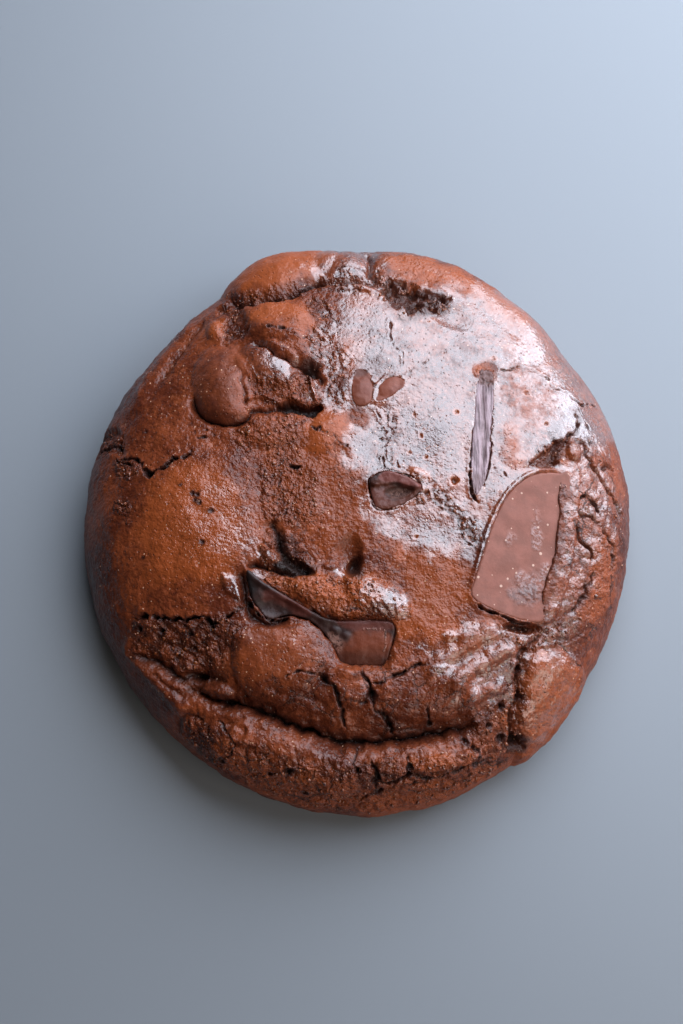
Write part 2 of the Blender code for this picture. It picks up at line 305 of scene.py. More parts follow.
    def patch(self, outline, soft, ragged, seed):
        """Vertices in a soft-edged, ragged patch, and how far into it each lies, 0 to 1."""
        who, inside, _, _ = self.measure(outline, soft + ragged, 0.0, 1, True)
        edge = inside + ragged * rough(self.across[who], self.away[who], 3.0, seed, 4)
        return who, soft_step(0.5 + edge / soft)

    def paint(self, kind, outline, amount=1.0, soft=2.0, ragged=1.0, seed=1):
        """Puts a mark on an area."""
        who, share = self.patch(outline, soft, ragged, seed)
        self.mark(kind, who, amount * share)

    def ease(self, kind, outline, amount, soft=2.0, ragged=1.5, seed=1):
        """Takes some of a mark off an area."""
        who, share = self.patch(outline, soft, ragged, seed)
        self.marks[kind][who] *= 1 - amount * share

    def crumble(self, outline, amount, size, seed, bare=0.9, soft=1.2, ragged=1.0, level=0.0):
        """Breaks the skin of an area into moist, lumpy crumb."""
        who, share = self.patch(outline, soft, ragged, seed)
        lumps = rough(self.across[who], self.away[who], size, seed, 3)
        cracks = 1 - np.clip(cell_edges(self.across[who], self.away[who], size * 1.6, seed) * 5, 0, 1)
        self.height[who] += share * (0.6 * amount * (lumps - 0.9 * cracks) + level)
        # Crumb colour, and painted shade in the low places between lumps and in the cracks
        self.mark("crumb", who, bare * share * np.clip(0.45 - 0.5 * lumps + 0.5 * cracks, 0, 1))
        self.mark("hollow", who, 0.6 * bare * share * cracks * (lumps < 0))
        self.mark("grit", who, share)

    def wrinkle(self, outline, turn, size, amount, seed, soft=3.0, stretch=4.0):
        """Crimps the skin of an area into fine wrinkles that run in one direction."""
        who, share = self.patch(outline, soft, 1.0, seed)
        angle = math.radians(turn)
        right, back = self.across[who], self.away[who]
        right = right + 0.6 * grain(right, back, 4.0, seed + 1)
        back = back + 0.6 * grain(right, back, 4.0, seed + 2)
        along = right * math.cos(angle) + back * math.sin(angle)
        aside = back * math.cos(angle) - right * math.sin(angle)
        crests = 1 - 2 * np.abs(rough(along / stretch, aside, size, seed, 2))
        self.height[who] += amount * share * crests

    def bobble(self, outline, size, amount, seed, soft=2.0, dark=0.6):
        """Breaks an area into small round bobbles with creases between them."""
        who, share = self.patch(outline, soft, 1.0, seed)
        right, back = self.across[who], self.away[who]
        right = right + 0.25 * size * rough(right, back, size, seed + 1, 2)
        back = back + 0.25 * size * rough(right, back, size, seed + 2, 2)
        edge = cell_edges(right, back, size, seed)
        some = soft_step(0.5 + 1.4 * grain(right, back, 2.5 * size, seed + 5))
        self.height[who] += share * some * amount * (bulge(edge * 1.6) - 0.75)
        # Painted shade in the creases between the bobbles
        self.mark("hollow", who, dark * share * some * np.clip(1 - edge * 9, 0, 1))
        self.mark("crumb", who, dark * share * some * np.clip(1 - edge * 4, 0, 1))

    def pore(self, spots, radius, depth, rim="gold", dark=0.8):
        """Sinks little round pores, where bubbles broke through the skin."""
        for k, place in enumerate(places(spots)):
            size = radius * (0.75 + 0.5 * chance(k * 3.7 + place[0]))
            who = self.near([place], 2.5 * size)
            right, back = self.across[who], self.away[who]
            gap = np.hypot(right - place[0], (back - place[1]) * (0.75 + 0.5 * chance(k * 5.1 + 2)))
            gap = gap / size + 0.35 * grain(right, back, 0.9, 40 + k)
            self.height[who] -= depth * soft_step(1.3 - gap)
            self.height[who] += 0.06 * np.exp(-(((gap - 1.4) / 0.4) ** 2))
            # Painted shade in the pore; its rim takes the rim mark
            self.mark("hollow", who, dark * soft_step(1.4 - 1.3 * gap))
            self.mark(rim, who, soft_step(2.2 - gap))


across, away = disc_grid(CRUST_CELLS)
stretch = outline_radius(np.arctan2(away, across)) / MEAN_RADIUS
skin = Skin(across * REACH * stretch, away * REACH * stretch)

# The undulation of the whole skin, then what the oven did to each part of it
skin.height += 0.35 * rough(skin.across, skin.away, 12.0, 5, 2)
skin.marks["grit"] += 0.36

# Back left: lobes that slid over each other, each leaning on the next
skin.swell((-15.5, 50.0), (12.5, 9.0), 14, 2.4, 0.9)
skin.fold("-24.6,42 -22.4,40.6 -20.6,40 -18.6,39.4 -16.4,39.7 -14,40.3 -11.7,41.1 -9.3,42.8 -6,44.2",
          (2.2, 1.2), 1.8, sharp=1.2, lean=0.4, dark=1.0, seed=11)
skin.ridge("-11.9,41.9 -9.3,43.2 -5.7,44.5", 0.6, 0.5, wander=0.2)
skin.crumble("-23,43.2 -18,41.6 -12,43.4 -9,44.2 -10,41.6 -16,38.6 -22,40.6", 0.35, 1.2, 10, 0.5)
skin.swell((-14.2, 35.4), (8.4, 4.9), -12, 1.5, 1.0)
skin.swell((-12.6, 30.6), (8.0, 3.0), -24, 1.1, 0.8)
skin.tear("-18.6,33.4 -16,33 -14,32.5 -11.6,32.1 -9.6,32.4", 0.3, 0.6, seed=19, gape=0.6)
skin.tear("-11.6,31.6 -9.6,31 -8,31.4", 0.3, 0.6, seed=20, gape=0.6)
skin.fold("-18.8,30.8 -16.4,29.6 -13.9,28 -11.3,26.2 -8.9,25 -7.2,23.6", (1.2, 1.0), 2.0, sharp=1.2,
          lean=0.8, dark=1.0, wander=0.5, seed=14)
skin.pore("-8.6,25.2", 1.1, 1.2, "crumb", 1.0)
skin.swell((-15.8, 26.2), (6.4, 4.4), -25, 1.8, 0.8)
skin.swell((-11.0, 21.6), (4.6, 3.4), -20, 0.6, 1.0)
skin.crumble("-18.5,23.6 -13,23 -9.5,24 -7,22 -6.6,18.4 -11,18.6 -17.5,19.5", 0.38, 1.1, 16, 0.3)
skin.ridge("-8.8,24.2 -8,21.6 -7.3,18.6", 0.4, 0.9, wander=0.3)
skin.ridge("-19.6,18.6 -19.1,19.4 -16.9,19.8 -14.9,19.3 -13.6,18.6", 0.4, 0.8, wander=0.3)
skin.lobe("-14.4,18 -11.8,19.2 -9,18.2 -6.6,18.6 -6,17 -8,16 -11,16.4 -13.4,17", -2.4, 0.9, wander=0.5,
          seed=18)
# Painted shade in the cavity under the lump
skin.paint("hollow", "-14,18 -11.8,18.8 -9,17.8 -6.6,17.8 -8,16.4 -11,16.8", 1.0, 0.8, 0.4, 17)
skin.fold("-20,16.7 -17.5,17.2 -14.6,17.2 -12,16.6", (0.8, 0.9), 1.0, dark=0.8, seed=20)
skin.fold("-6.6,26.2 -7.2,24.4 -6.4,22", (1.1, 1.1), 1.0, dark=0.8, seed=21)
skin.swell((-24.2, 22.4), (5.6, 8.8), 14, 2.1, 0.9)
# Painted shade on the round bump, whose slope faces away from the light, as a darker crumb colour
skin.paint("crumb", "-28.6,22.8 -27.6,27 -24,29.6 -21.6,27 -21.4,18 -24.7,15.7 -27.6,17.7", 0.4, 2.5, 0.6,
           24)
skin.fold("-29.4,20.6 -28.6,18 -26.4,16.1 -23.4,15.1 -20.4,15.6 -19.2,17", (1.3, 1.3), 1.9, sharp=1.3,
          lean=0.6, dark=1.0, wander=0.2, seed=23)
skin.fold("-20.8,24 -20.2,21 -19.8,17.8", (0.7, 0.7), 0.6, dark=0.35, seed=25)
skin.swell((-26.2, 34.5), (1.8, 2.6), 20, 1.1, 0.8)
skin.crumble("-26.5,41 -22.5,40.6 -20,37 -20.4,32.6 -24.2,31.2 -24.2,36.6", 0.35, 1.2, 27, 0.9,
             level=-0.7)
skin.fold("-29,38 -32,33 -34.5,28.5 -36.5,24", (1.8, 1.6), 0.6, dark=0.3, seed=28)
skin.ridge("-31.5,40 -35.5,33 -39,26 -41.5,19", 3.0, 0.5, wander=0.5)
skin.crumble("-9.6,38.6 -5.8,39.6 -4,34 -4.6,29.4 -7.6,27.6 -8.6,30.6 -7.2,34", 0.42, 1.0, 29, 0.45)
skin.swell((-15.0, 13.8), (6.5, 3.4), 4, 1.0, 0.8)
skin.crumble("-20,15.6 -12,16 -8.5,13.6 -12,9.5 -22,11", 0.22, 1.0, 31, 0.1)
skin.swell((-5.0, 12.8), (5.0, 3.6), 40, 0.8, 1.1)
skin.crumble("-5.6,29.5 -2.4,30 -1.2,26 -1.6,19 -4.6,18 -5,24", 0.3, 1.0, 33, 0.3)

# Back right: a ridge along the rim over a gaping hollow, and wet lobes beside it
skin.ridge("3,53 12,50.5 22,46.5 31,40.5 38,33", 6.5, 1.2)
skin.lobe("5.6,43.8 4.4,41 5.4,38.8 8.4,37.4 12.4,37.2 15.4,38.4 17.4,39.6 14,41.2 11.8,41.9 8.8,43.4",
          -2.6, 3.6, wander=1.4, seed=41)
skin.crumble("4.8,43.4 5,38.6 8.1,35.8 12,35.8 17,37.4 17,40.4 11.8,42.2 8.4,43.6", 0.4, 2.2, 49, 0.2,
             soft=2.8, ragged=2.0)
skin.fold("16.8,40.2 11.8,41.6 8.6,43 5.4,44.4", (1.6, 0.9), 0.9, dark=0.8, seed=42)
# Painted shade under the overhanging ridge, as hollow and crumb marks
skin.paint("hollow", "5.6,43 5.4,39.2 8.2,37.8 12,38.6 16,39.6 12,41.4 8.8,42.6", 0.35, 3.4, 1.6)
skin.paint("crumb", "5,43.6 4.6,38.6 8,36 12,36 17,38 17,40.6 12,42", 0.8, 3.0, 2.0)
skin.lobe("11.2,40.4 13.4,40.8 14.2,39.2 12.6,38.4 11,39", 1.5, 1.1, seed=43)
skin.lobe("13.6,39.4 15.4,39.8 16.2,38.4 14.6,37.2 13.4,38", 1.6, 1.1, seed=44)
skin.swell((17.0, 36.2), (5.0, 2.6), -20, -0.9, 1.2)
skin.swell((-2.4, 49.0), (5.2, 5.6), 0, 1.3, 1.0)
skin.swell((5.0, 48.6), (2.6, 4.6), -8, 0.7, 1.0)
skin.fold("2,53 2.6,49 2.2,45.6 3.8,43.2", (1.0, 1.2), 0.9, dark=0.5, seed=46)
skin.fold("-8.5,43.6 -4,43.4 0.5,43.8 4.6,43", (1.2, 1.4), 1.1, dark=0.5, seed=47)
skin.crumble("-6,44.6 -2,45.6 4,45.8 5.4,42.8 -1,41 -6.5,42", 0.4, 1.3, 48, 0.4)
skin.ridge("-3.8,41.4 -1,42.2 1.6,41.6 3.4,40.2", 0.9, 0.6, wander=0.3)

# Left: a broad swelling, split from the rim inwards by one long tear
skin.swell((-30.0, -5.0), (19.0, 17.0), 0, 1.3, 1.6)
skin.crumble("-52.5,19 -47,18 -44.6,15.8 -43,13 -43.2,11.2 -46,12.4 -52,13", 0.5, 1.7, 51, 0.7,
             level=-0.5)
skin.tear("-53,14.8 -49,14 -46.6,13.4 -45.2,13.5 -44,12.6 -43,11.2", 0.85, 1.8, wander=0.7, seed=52,
          gape=0.9)
skin.tear("-44.2,10.6 -42.6,9.2 -40.9,8.9 -39.8,7.9", 0.5, 1.3, seed=53)
skin.tear("-43.2,9.9 -40.6,9.8 -39,9.2 -38.4,7.8 -37.4,6.6 -36.6,5.9 -35.8,7 -34.6,7.2 -33.6,8.1 -32,8.7 "
          "-30,9 -29.3,10", 0.62, 1.7, wander=0.55, seed=54, gape=0.85)
skin.tear("-29.6,9.4 -28.4,8.8 -26.4,8.3", 0.2, 0.5, seed=55)
skin.crumble("-44,10 -41,9.4 -38.6,6.8 -41,5.6 -43.4,7.4", 0.3, 1.0, 56, 0.6)
skin.crumble("-42.6,2 -40.4,2 -39.2,-1.6 -41,-2.8 -42.6,-0.6", 0.3, 1.1, 57, 0.7)
skin.pore("-28.9,1.9 -28,1.6 -28.4,0.6 -27.7,0.2", 0.3, 0.3, "crumb")
skin.pore("-31,3.5 -25.6,-1.4 -38,14.6 -27,-7 -37.5,-9", 0.28, 0.3, "crumb", 0.5)
skin.tear("-29.4,13.8 -28.2,12.7 -26.6,12.4", 0.3, 0.6, seed=58)
skin.tear("-27,13.9 -25.6,13.2 -24.4,13.4", 0.25, 0.5, seed=59)

# Middle: a steep-sided cleft with a wet lump in it, a deep pit, and fine tears
skin.swell((-2.0, 2.0), (12.0, 13.0), 0, 0.6, 1.3)
skin.fold("-14.8,-3 -14.2,-5 -13.6,-7.4 -13,-9.4", (1.2, 2.6), 1.4, sharp=1.2, lean=0.3, dark=0.9,
          wander=0.4, seed=61)
skin.swell((-10.6, -11.3), (3.8, 1.2), -30, -2.2, 0.8)
# Painted shade in the cleft and on its steep wall, as hollow and crumb marks
skin.paint("hollow", "-14,-4 -13.2,-6 -12.6,-8.4 -11,-10.6 -8,-12 -7.8,-13.2 -10.6,-13 -14.8,-11.4 "
           "-13.2,-9.8 -13.8,-6.4", 1.0, 0.9, 0.9, 62)
skin.paint("crumb", "-13.2,-5 -11.4,-7 -9,-10 -7,-12.6 -12,-12.6 -14,-9", 0.9, 1.6, 0.9, 71)
skin.swell((-15.2, -9.6), (1.6, 1.2), -30, 1.5, 0.8)
skin.swell((-14.6, -7.4), (1.0, 1.3), 10, 0.7, 0.8)
skin.swell((-12.0, -8.6), (0.7, 1.2), 30, 0.9, 0.8)
skin.fold("-19.6,-11.4 -17.6,-11.2 -15.6,-11.9 -13.4,-12.8 -10.6,-13 -8.4,-12.5", (1.0, 0.8), 1.6,
          dark=1.0, wander=0.3, seed=63)
skin.swell((-1.6, -9.2), (2.4, 4.0), -14, -1.5, 1.1)
skin.swell((-0.7, -11.4), (1.3, 2.4), -28, -1.9, 0.8)
# Painted shade in the pit, as hollow and crumb marks
skin.paint("hollow", "-1,-10.4 0.2,-10.2 0.8,-12.2 0.2,-13.2 -0.8,-12.2", 0.9, 1.6, 0.6)
skin.paint("crumb", "-3.4,-6.8 0.2,-7.6 1,-12 -0.4,-13.6 -2.2,-11", 0.55, 3.0, 1.0)
skin.swell((-4.6, -11.4), (1.8, 0.8), 0, 0.6, 0.8)
skin.crumble("-15,-4 -11,-6 -8,-11 -10,-13.6 -17,-12.4 -16.4,-8", 0.6, 1.4, 70, 0.5, soft=1.6)
skin.tear("-12.6,1.6 -13,0.2 -12.8,-1.6 -14.6,-3.4", 0.25, 0.5, seed=64)
skin.tear("-8.6,14.4 -6.5,13.2 -4.6,12.4 -3.2,11.2 -2,9.8 -0.6,8.8", 0.3, 0.7, seed=65, gape=0.6)
skin.tear("-12.4,7 -11.6,6.6 -10.8,6.5 -9.9,6.9", 0.4, 1.0, seed=66, gape=0.95)
skin.tear("-13.2,10 -13,7 -13.6,4 -12.8,1.6", 0.2, 0.4, wander=0.7, seed=67, gape=0.5)
skin.crumble("-16,9 -9,8 -7,0 -10,-4 -16,-2", 0.14, 1.3, 68, 0.15)
skin.wrinkle("-24,-4 -17,-2 -14.5,-6 -16,-11 -22,-12", -45, 1.1, 0.05, 69)

# Behind the long shard a bumpy ridge of crust, orange where it is thin
skin.swell((-4.0, -16.2), (15.5, 4.6), -17, 1.3, 0.9)
skin.swell((-8.4, -15.2), (4.0, 2.8), -14, 1.0, 0.8)
skin.swell((3.8, -17.2), (6.0, 3.4), -22, 1.3, 0.8)
skin.swell((-2.7, -14.8), (1.1, 2.0), 0, -0.9, 1.0)
skin.crumble("-17,-13.6 -9.5,-13.3 -4.6,-12.8 4,-14 9,-18 8,-21 -3.6,-20 -9.5,-17.6", 0.3, 1.0, 72, 0.15,
             soft=0.8)
skin.tear("-4.6,-18.6 -2,-19.4 -1,-19 1,-19.6", 0.22, 0.5, seed=73)
skin.tear("-1.6,-20.5 2.1,-20.8 5,-21 6.6,-22.2 6.3,-24.1 5.4,-26.5 3.4,-29", 0.16, 0.8, wander=0.1,
          seed=74, gape=0.9, lip=0.05)
skin.lobe("-23.5,-12.6 -21.6,-13.2 -20.4,-15.4 -20.2,-17.4 -22,-16.6 -23.6,-14.6", 0.6, 0.9, seed=75)
skin.fold("-20.4,-12.4 -19.6,-15 -19.4,-18 -17.4,-20.6 -14.8,-21.4 -11.8,-20.9", (1.4, 1.5), 1.4,
          dark=0.9, seed=76)

# Front left: a rift where the skin gave way, torn crumb below it, then a valley
skin.tear("-40,-18.6 -38,-19.2 -36,-19.6 -34,-19.6 -32,-20.1 -29.8,-20.3 -27.8,-19.8 -25.4,-20.6 "
          "-23.3,-20.5 -21.8,-19.4 -19.8,-18.9", 0.72, 1.9, wander=0.8, seed=81, gape=0.8)
skin.swell((-31.5, -25.0), (11.0, 5.5), 0, -1.3, 1.0)
skin.crumble("-39.5,-20 -30,-20.5 -22,-20.2 -20.6,-23 -23,-28 -29,-29.5 -35,-28 -40,-25", 0.42, 2.2, 82,
             0.75, soft=2.0)
skin.wrinkle("-39,-20.5 -27,-20.8 -22,-24 -27,-29 -36,-28", -32, 1.5, 0.3, 83)
skin.pore("-38.7,-21.2 -25.3,-21.9 -34.6,-22 -29.6,-22.6", 0.6, 0.9, "crumb", 1.0)
skin.fold("-42,-25.6 -39,-26.6 -36.4,-27.6 -34,-29 -31,-30.6 -28.3,-29.9 -25.8,-29.4 -22.6,-30.2",
          (2.2, 1.8), 1.6, dark=0.8, seed=84)
skin.swell((-28.4, -29.8), (2.2, 1.0), 5, -1.5, 0.8)
skin.lobe("-28,-32 -25.8,-33.5 -23.2,-33.9 -21.6,-32.4 -22.3,-30.9 -25,-30.2", 1.4, 1.6, seed=85)
skin.ridge("-42.5,-23 -39.9,-26.9 -35.7,-31.2 -32.4,-34.5 -29.5,-37.5", 2.2, 1.0, wander=0.5)
skin.fold("-37,-29.2 -34.7,-30.6 -32.2,-32.6 -30,-34", (1.0, 1.0), 0.6, dark=0.3, seed=86)
skin.fold("-27.2,-38 -29.6,-36.6 -32,-37.5 -33,-40.5", (1.5, 1.5), 0.7, dark=0.2, seed=87)

# Front: the dome hangs over a rolled rim in one long fold, like a smile
skin.lobe("-20.5,-22.4 -15,-21.6 -10.5,-21.6 -7,-23.8 -5.2,-27.2 -6.6,-30.4 -10,-34 -16,-34 -21,-30.5 "
          "-22,-26", 1.3, 5.0, seed=91)
skin.fold("-31,-31.6 -27.5,-33.2 -23.8,-34.5 -20.8,-35 -17.1,-36.3 -13.8,-37.7 -10.9,-39 -7.8,-40.1 "
          "-5.2,-41.2 -2.6,-41.7 2.1,-41.9 6.7,-41.3 10.4,-40.8 14.4,-40 17.6,-39.4 20.5,-38.6",
          (7.5, 2.4), 3.9, sharp=1.9, lean=1.4, dark=0.9, wander=0.5, seed=92, ends=0.1)
skin.ridge("-33,-39 -24,-42.4 -12,-45.4 0,-47 12,-46.2 23,-43.8", 5.5, 1.3)
skin.swell((-8.2, -39.6), (2.0, 1.0), -15, -1.6, 0.8)
skin.lobe("-6.4,-30.2 -3,-28.9 0.6,-29.2 0.9,-31.2 1.7,-34 -1,-35.4 -2.8,-34.8 -3.6,-33.2 -4.8,-31.6",
          0.8, 1.1, seed=93)
skin.lobe("3.4,-31.8 6,-30.8 8.6,-29.6 13,-28.4 18,-28.8 20.6,-31.4 19.4,-35.4 13,-37 7.6,-36.9 4.8,-36 "
          "2.9,-34.2", 0.9, 2.4, seed=94)
skin.tear("-7,-30 -5.1,-31.6 -3.4,-33.3 -3,-35 -2.3,-37 -2.4,-39", 0.36, 1.0, seed=95, gape=1.0, lip=0.2)
skin.tear("1,-29 1.2,-30.7 2.3,-32.4 2.1,-34.3 3.5,-35.9 5.5,-37.7 6.8,-39.6", 0.46, 1.4, seed=96,
          gape=1.0, lip=0.2)
skin.tear("-3.2,-34.6 -1.4,-34.2 0.4,-34.8 2.2,-34.4", 0.22, 0.6, seed=148, gape=0.9)
skin.tear("-12.6,-30.8 -10.4,-29.6 -8.6,-30.2 -7,-30", 0.22, 0.6, seed=149, gape=0.9, lip=0.2)
skin.tear("2.2,-31.6 4.6,-31.2 6.5,-30.4 8,-29.4 9.7,-28.7 12.6,-28.3", 0.32, 1.0, seed=97, gape=1.0,
          lip=0.25)
skin.tear("11.6,-35 11.9,-36.3 12.5,-37.8", 0.3, 0.9, seed=98, gape=1.0)
skin.fold("-16,-32 -10,-33 -5,-35.4", (1.2, 1.2), 0.5, dark=0.1, seed=99)
skin.pore("2.3,-33.7 5.3,-37.5 -5.9,-30.9 12.2,-37.2", 0.55, 1.0, "crumb", 1.0)
skin.wrinkle("-20,-30 -8,-33 2,-33 12,-31 22,-30 20,-38 0,-40 -16,-36.5", 4, 1.6, 0.2, 100)

# The rolled rim: blocks of skin with torn seams between them, and fine cracks
skin.lobe("-26,-38.5 -22,-38.2 -14,-40 -7,-42.2 -1.6,-43.6 -0.6,-47 0.6,-50 -4,-54 -14,-53 -24,-48", 0.6,
          2.0, seed=101)
skin.lobe("3,-44.2 5.6,-43.4 8.2,-43.6 8.4,-46 6,-47.6 3.8,-47", 0.8, 1.3, seed=102)
skin.lobe("9.4,-44 13,-42.8 18.4,-42 21.8,-42.8 21.4,-44.6 17,-45.6 10,-46.4", 1.1, 1.4, 0.3, seed=103)
skin.tear("1.8,-43 2.6,-45.4 3.6,-47.6 5.6,-48.2 7.6,-47.3 8.7,-46.4 10.6,-47 13.2,-47.2 16,-46.5 "
          "19.1,-45.6 21.5,-45.3 25,-44.8", 0.44, 1.3, wander=0.4, seed=104, gape=1.0, lip=0.2)
skin.tear("0.2,-43 -0.8,-44.2 -0.2,-45.6 0,-46.8", 0.32, 0.9, seed=105, gape=1.0)
skin.tear("8.4,-43.4 8.7,-44.8 8.6,-46.2", 0.34, 0.9, seed=106, gape=1.0)
skin.tear("0,-53 1.4,-51.6 3.2,-50.6 3.3,-48.6", 0.36, 0.9, seed=107, gape=1.0)
skin.tear("-17,-47.6 -14.6,-46.2 -11.5,-45.9 -9.2,-45.2 -7,-46", 0.24, 0.5, seed=108)
skin.tear("-25,-37.2 -23.6,-38.2 -22.4,-39.4 -21.4,-40.4 -21.3,-42 -22.2,-43.4 -23.9,-44.4", 0.3, 0.8,
          wander=0.3, seed=109)
skin.lobe("-22,-39.3 -20.8,-37.7 -18.9,-37.6 -17.9,-39.2 -18.8,-40.9 -20.9,-41", 0.7, 0.8, seed=110)
skin.swell((-19.9, -39.2), (1.2, 1.0), 0, -0.4, 1.0)
skin.tear("9.7,-49.4 9.5,-48.2 9.8,-47.2", 0.22, 0.5, seed=111)
skin.tear("17.9,-40.6 19.6,-41.9 20.9,-43.6 20,-45.2", 0.5, 1.2, seed=112)
skin.pore("-24,-44.4 -9.3,-50.6 3.6,-50.4 2.9,-47.8 -12,-46 8.6,-46.6 0,-46", 0.55, 0.9, "crumb", 1.0)
skin.bobble("-4,-43 2,-44 10,-47 24,-45.5 26,-49 10,-54.5 -4,-54", 3.2, 0.7, 113, dark=0.5)
skin.bobble("-22,-37 -12,-40.4 0,-43 12,-42.2 22,-40.4 24,-44 6,-46.6 -8,-45.4 -24,-41", 1.5, 0.3, 115,
            dark=0.2)
skin.bobble("-30,-38 -20,-42 -8,-45 -4,-52 -16,-54 -30,-46", 4.0, 0.35, 114, dark=0.35)
roll = "-31,-37 -22,-40.4 -8,-43.6 6,-44.6 22,-42.6 27,-44 24,-51 6,-57 -12,-56 -28,-47"
skin.bobble(roll, 2.0, 0.45, 116, dark=0.2)
skin.crumble(roll, 0.36, 2.4, 118, 0.12, soft=3.0, ragged=2.0)
skin.paint("grit", roll, 0.6, 3.0, 2.0, 117)
skin.paint("grit", "29.6,-28 34,-26 40,-29 42,-35 37,-46 30,-46", 0.5, 2.0, 1.5, 128)

# Front right: glassy diagonal ridges run into a torn gully beside a smooth lobe
skin.ridge("11.5,-29.6 15.6,-26.9 19.6,-24.2 24.2,-21.8", 1.9, 0.9, wander=0.4, seed=1)
skin.ridge("15.5,-32.6 18.8,-29.4 22.6,-27.4 27.2,-24.6", 1.8, 1.0, wander=0.4, seed=2)
skin.ridge("17.6,-34.6 21.6,-33 25.8,-31.4", 1.5, 0.8, wander=0.4, seed=3)
skin.ridge("14.5,-24 18.1,-23 22.7,-20.9", 1.3, 0.6, wander=0.4, seed=4)
skin.wrinkle("11,-29 20,-21.5 29,-24 27,-33 17,-35", 34, 1.2, 0.07, 121)
skin.lobe("30,-26.6 33.4,-25 37.4,-25.4 42,-28.5 44,-35 39,-46 31,-49 29.4,-44 28.7,-39.8 28,-36 "
          "29.2,-31", 1.3, 4.0, seed=122)
skin.fold("33.2,-21.8 31.4,-23.2 29.6,-24.8 28.2,-26.6 28,-28.6 27.6,-30.8 28.2,-33.4 27.2,-35.8 "
          "27,-38.6 27.6,-41 29.4,-43.6", (1.4, 1.2), 1.4, dark=0.6, wander=0.5, seed=123)
skin.crumble("30.5,-23 28,-25 26.6,-30 24.4,-33 21.6,-36 20,-40 22,-43.5 29,-45 29,-38 29,-30", 0.45, 2.2,
             124, 0.45, soft=2.0)
skin.crumble("24.6,-20.6 31.5,-21.4 36.5,-20 37,-23 33,-25 26.5,-25.4", 0.5, 1.8, 125, 0.45, soft=2.0)
skin.swell((28.6, -21.7), (3.6, 1.1), -2, -2.4, 0.8)
skin.pore("24.9,-35.1 22.7,-38.5 25.4,-41 28.1,-33.4 28,-28.8 18.6,-41.2", 0.6, 1.2, "crumb", 1.0)
skin.pore("28.6,-42.2", 1.2, 2.0, "crumb", 1.0)
skin.tear("35,-23.8 37,-25.2 38.8,-26.8 41,-28.6", 0.22, 0.5, seed=126)
skin.wrinkle("30,-27 38,-26 42,-32 36,-44 30,-42", 60, 2.2, 0.12, 127)

# Right: the skin laps round the flat slab and crinkles along the rim
skin.lobe("30.4,7.6 31.8,9.1 33.7,11.1 36,12.8 37.6,12.3 36.3,10.5 35.6,8.6 34.4,7.5 32,7.2", -1.6, 1.7,
          wander=0.7, seed=131)
skin.crumble("29.6,7.2 31.8,9.6 33.7,11.6 36.4,13.2 38.2,12 36.6,10 36,8 33,7", 0.3, 1.6, 146, 0.3,
             soft=0.8)
skin.paint("crumb", "29.6,7.4 31.8,9.6 33.7,11.6 36.4,13.2 37.8,12 36.4,10 35.8,8 33,7.2", 0.6, 1.2, 0.5)
# Painted shade in the deepest part of the hollow
skin.paint("hollow", "33.6,9.6 36.2,12.4 36.4,10.4 35.6,8.4 33.6,7.8", 0.4, 1.6, 0.6)
skin.paint("gold", "30.4,7.6 33,10.6 35,11.4 34,8", 0.6, 1.2, 0.4)
skin.lobe("37.2,11.6 38.6,12.4 40,11.2 39.8,9.2 38.2,8.7 37,9.8", 1.2, 1.3, seed=132)
skin.fold("38.9,13.4 40.6,12.2 41.5,10.2 43.2,7.8 45.5,5.1 48.2,2.4 51,0.2", (0.8, 0.9), 1.1, dark=0.8,
          wander=0.6, seed=133)
for seed, route in (
    (134, "35.8,4.2 37.4,3 38,1.2 38.7,-0.7 40.3,-1.4 43.4,-1.8"),
    (135, "39,1.6 40.9,2.7 42.3,0.4 43.9,-1.1"),
    (136, "38,-2.8 39.4,-5 40.8,-6.9 41.9,-9.4"),
    (137, "42.4,-10.4 41,-13.4 39.4,-16 37.4,-19.2"),
    (143, "39.1,18.6 40.5,16.9 38.3,14 36.8,11.5"),
    (144, "44.6,8 46.6,9.4 48.6,9"),
    (145, "44,-3 46.6,-6 47,-10"),
):
    skin.fold(route, (1.0, 1.0), 0.5, dark=0.3, wander=0.6, seed=seed)
    skin.tear(route, 0.4, 0.8, 0.5, seed, gape=0.9, dark=0.8)
skin.bobble("38.6,13 44,13 50,4 51,-6 46,-20 39,-24 36.6,-18 37.4,-6 38.6,4", 2.6, 0.3, 138, dark=0.3)
skin.bobble("34.6,-4 37.6,-2 38.6,-12 36,-20 32.6,-20.4 32.8,-13", 1.7, 0.25, 139, dark=0.4)
skin.paint("grit", "37.6,14 44,13 50,4 50,-6 45,-20 39,-23 36,-18 36.4,-6", 0.6, 3.0, 1.5, 142)
skin.tear("39.6,21.8 41,20.8 43,21.6 46.5,22.4", 0.42, 1.1, wander=0.3, seed=140)
skin.tear("40.5,20.6 40.8,18.8 42,15.8", 0.22, 0.5, seed=141)

# In the glazed field between: hair cracks, pores, and two crumbly seams
skin.tear("6,36 6.1,33 6.2,30.2 7.9,27.6 7.6,24.6", 0.2, 0.4, wander=0.5, seed=151, dark=0.45)
skin.tear("13,28.2 12.4,26.3 10,24.9 8.8,23.8", 0.2, 0.4, wander=0.4, seed=152, dark=0.45)
skin.tear("24.6,26.4 26.9,25.5 29.1,26.7 32.8,25.8 34.4,25 35.5,23.2 38,23 39.8,21.6", 0.22, 0.5,
          wander=0.4, seed=153, dark=0.5)
skin.tear("2.6,18.2 3.5,16.4 5,14.7", 0.15, 0.3, wander=0.2, seed=154, dark=0.6)
skin.tear("26.5,4.6 25.2,6.2 24,6.6", 0.25, 0.5, wander=0.3, seed=155, dark=0.6)
skin.crumble("10.6,2.4 14.6,2.4 17.6,-0.2 22,-5 22.6,-8.4 20,-7.6 16.4,-2.6 13.6,0 10.8,0.4", 0.38, 1.1,
             156, 0.75, soft=0.8)
